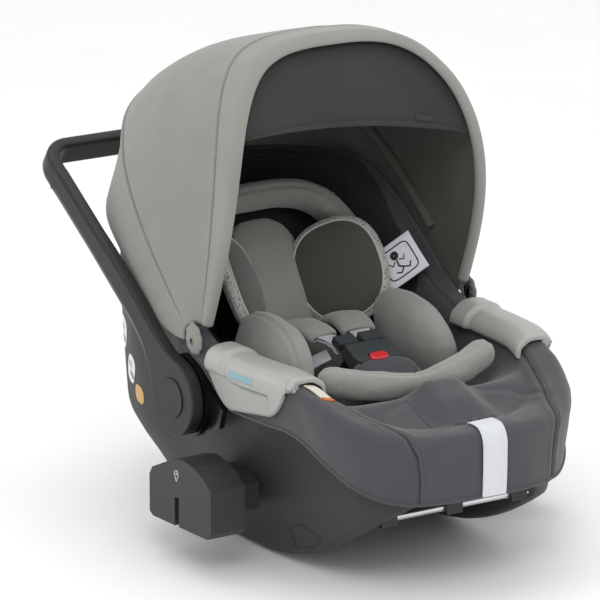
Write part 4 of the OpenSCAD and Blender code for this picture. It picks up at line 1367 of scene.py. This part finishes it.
g = np.array([np.stack([half_w * k, -8 + half_h * k, np.full(64, 15 + h)], 1) for h, k in levels])
make("buckle_red_button", put(BUCKLE, g.reshape(-1, 3)), capped(len(levels), 64), "red", "buckle_release",
     replaces=["buckle_button"])


# adjuster flap over the housing, with the strap coming out in front of it
ny, nx = 36, 56
fy, fx = np.linspace(-222, -322, ny)[:, None], np.linspace(-50, 50, nx)[None, :]
base = np.zeros((ny, nx, 3))
for i in range(ny):
    for j in range(nx):
        hit = shot(cover_tree, (float(fx[0, j]), float(fy[i, 0]), 330), (0, 0, -1))
        base[i, j] = hit[0]
rise = ease((50 - np.abs(fx)) / 34) * ease((fy + 322) / 46) * ease((-222 - fy) / 30)
top = base + np.array([0, 0, 1.0]) * (0.5 + 17.5 * rise + 0.5 * wobble(base, 24, 1.1) * rise)[..., None]
top = relax(relax(top, 2, axis=0), 2, axis=1)
v, f = slab(top, base - (0, 0, 1.5))
flap_o = make("adjuster_flap", v, [list(q)[::-1] for q in f], "cover")
mark_line = np.array([top[3, 22 + k] + (0, 0, 0.4) for k in range(12)])
v, f = tube(mark_line, 0.7, 8)
make("adjuster_flap_stitch", v, f, "strap")
paint("adjuster_housing", "black", 1.0)
paint("adjuster_button", "adapter", 1.2)

spine, sn = on_surface(cover_tree,
                       resample(np.array([(0, -318, 240), (0, -332, 225), (0, -346, 205), (0, -358, 185),
                                          (0, -364, 150), (0, -360, 118)]), 70))
spine = relax(spine, 10)
lift = 1.9 + 1.2 * np.sin(np.linspace(0, math.pi, 70))
spine = spine + sn * lift[:, None]
spine[:3] -= sn[:3] * np.array([[5.0], [3.0], [1.0]])
v, f = tube(resample(spine, 90), 1.0, up=unit(resample(sn, 90)), section=strap_section(16, 0.8, 0.25))
make("adjuster_webbing", v, f, "strap", replaces=["adjuster_strap"])

# care label with a generic child-in-seat picture, turned to the front left
LABEL = move(132, 26, 291) @ turn(0, 112, 35) @ turn(0, 0, -40)
lu, lv = np.linspace(-26, 26, 26)[:, None], np.linspace(-29, 29, 28)[None, :]


def label_curl(u, v):
    return -1.6 + 3.2 * ((u / 26) ** 2 * 0.6 + (v / 29) ** 3 * 0.25) + 0.8 * np.sin(v * 0.11 + 0.5)


lz = label_curl(lu, lv)
label_face_grid = np.stack([lu + 0 * lv, lv + 0 * lu, lz + 0 * lu], -1)
v, f = slab(label_face_grid - (0, 0, 0.35), label_face_grid + (0, 0, 0.35))
label = make("care_label_cloth", put(LABEL, v), [list(q)[::-1] for q in f], "label",
             replaces=["care_label"])


def label_face(p, sign):
    p = np.asarray(p, float)
    return np.column_stack([p, label_curl(p[:, 0], p[:, 1]) + sign * 0.55])


parts = []
for sign in (-1, 1):
    circle = around(90)
    frame_line = oval(18.5, 21, 6, circle)
    parts.append(tube(label_face(frame_line, sign), 0.8, 6, closed=True))
    middle = (-9, 2)
    head = np.stack([-9 + 4.6 * np.cos(circle), 2 + 4.6 * np.sin(circle)], 1)
    for r in (0.35, 0.7, 1.0):
        parts.append(tube(label_face((head - middle) * r + middle, sign), 0.9, 6, closed=True))
    for line, r in (([(-3, 2), (5, 3), (9, -2)], 2.0), ([(-2, 5), (2, 10), (-3, 13)], 1.3),
                    ([(-2, -1), (1, -7), (-4, -10)], 1.3),
                    ([(9, -2), (14, 4), (11, 10)], 1.6), ([(9, -2), (13, -9), (8, -13)], 1.6)):
        parts.append(tube(label_face(resample(np.array(line, float), 16), sign), r * 0.55, 6))
v, f = join(parts)
make("care_label_picture", put(LABEL, v), f, "ink")

# side tag: flat tape with a coloured end, lying along the padded rim
tag_w = np.linspace(-7, 7, 10)
g = np.zeros((30, 10, 3))
gn = np.zeros((30, 10, 3))
for i, at_y in enumerate(np.linspace(-212, -243, 30)):
    mid_x = -front_half_w(at_y) + 13
    for j, w_x in enumerate(tag_w):
        hit = shot(cover_tree, (mid_x + float(w_x), float(at_y), 330), (0, 0, -1))
        g[i, j], gn[i, j] = hit
gn = unit(gn.mean((0, 1)))
g = relax(relax(g, 4, axis=0), 4, axis=1) + gn * (1.6 + 0.9 * np.sin(np.linspace(0, 5, 30)))[:, None, None]
v, f = slab(g + gn * 0.8, g - gn * 0.8)
f = facing(v, f, 4, gn)
cols = [1 if v[int(q[0])][1] < -238.5 else 0 for q in f]
tag = make("side_tag_tape", v, f, ["tag", "tag_end"], index=cols, replaces=["side_tag"])
paint("seat_liner", "foam", 0.0)

# ---------- marks on the hard shell ----------
def on_side(points, side, lift=0.4):
    """Points given as (y, z), put on the side of the shell."""
    out = []
    for p in points:
        hit = shot(shell_tree, (side * 320, float(p[0]), float(p[1])), (-side, 0, 0))
        out.append(hit[0] + hit[1] * (lift if hit[1][0] * side > 0 else -lift)
                   if hit else np.array([side * 150.0, p[0], p[1]]))
    return np.array(out)


def film(name, outline, side, mat, lift=0.35):
    """A thin printed patch with a rounded outline, pressed onto the shell."""
    c = outline.mean(0)
    rings = [c + (outline - c) * k for k in np.linspace(0.04, 1, 9)]
    g = np.array([on_side(r, side, lift) for r in rings])
    n = len(outline)
    f = [list(q) for q in quads(len(rings), n, wrap_v=True)] + [list(range(n))]
    return make(name, g.reshape(-1, 3), f, mat)


def blob(cy, cz, ry, rz, tilt=0.0, n=2.6, wavy=0.0):
    circle = around(48)
    along = ry * power(np.cos(circle), n) * (1 + wavy * np.sin(5 * circle))
    across_it = rz * power(np.sin(circle), n)
    lean = math.radians(tilt)
    return np.stack([cy + along * math.cos(lean) - across_it * math.sin(lean),
                     cz + along * math.sin(lean) + across_it * math.cos(lean)], 1)


for side, mark in SIDES:
    tri = relax(resample(np.array([(-151, 51), (-173, 60), (-207, 50), (-190, 34), (-153, 23)]), 160,
                         closed=True), 6, closed=True)
    v, f = tube(on_side(tri, side, 0.1), 0.75, 8, closed=True, up=(1, 0, 0))
    make(f"rocker_mark_{mark}", v, f, "black")
    for k, (cy, cz, ry, rz, tilt, mat) in enumerate([(222, 300, 10, 28, 22, "decal_grey"),
                                                     (206, 254, 13, 24, 20, "decal"),
                                                     (190, 210, 13, 22, 22, "decal"),
                                                    (170, 168, 12, 20, 24, "decal"),
                                                    (152, 140, 11, 12, 10, "decal_amber")]):
        film(f"decal_{mark}_{k}", blob(cy, cz, ry, rz, tilt), side, mat)
        if mat == "decal":
            film(f"decal_{mark}_{k}_a", blob(cy + 1, cz + 6, 6, 5, 0, 2), side, "decal_teal", 0.6)
            film(f"decal_{mark}_{k}_b", blob(cy - 1, cz - 8, 7, 4, 30, 3), side, "decal_grey", 0.6)
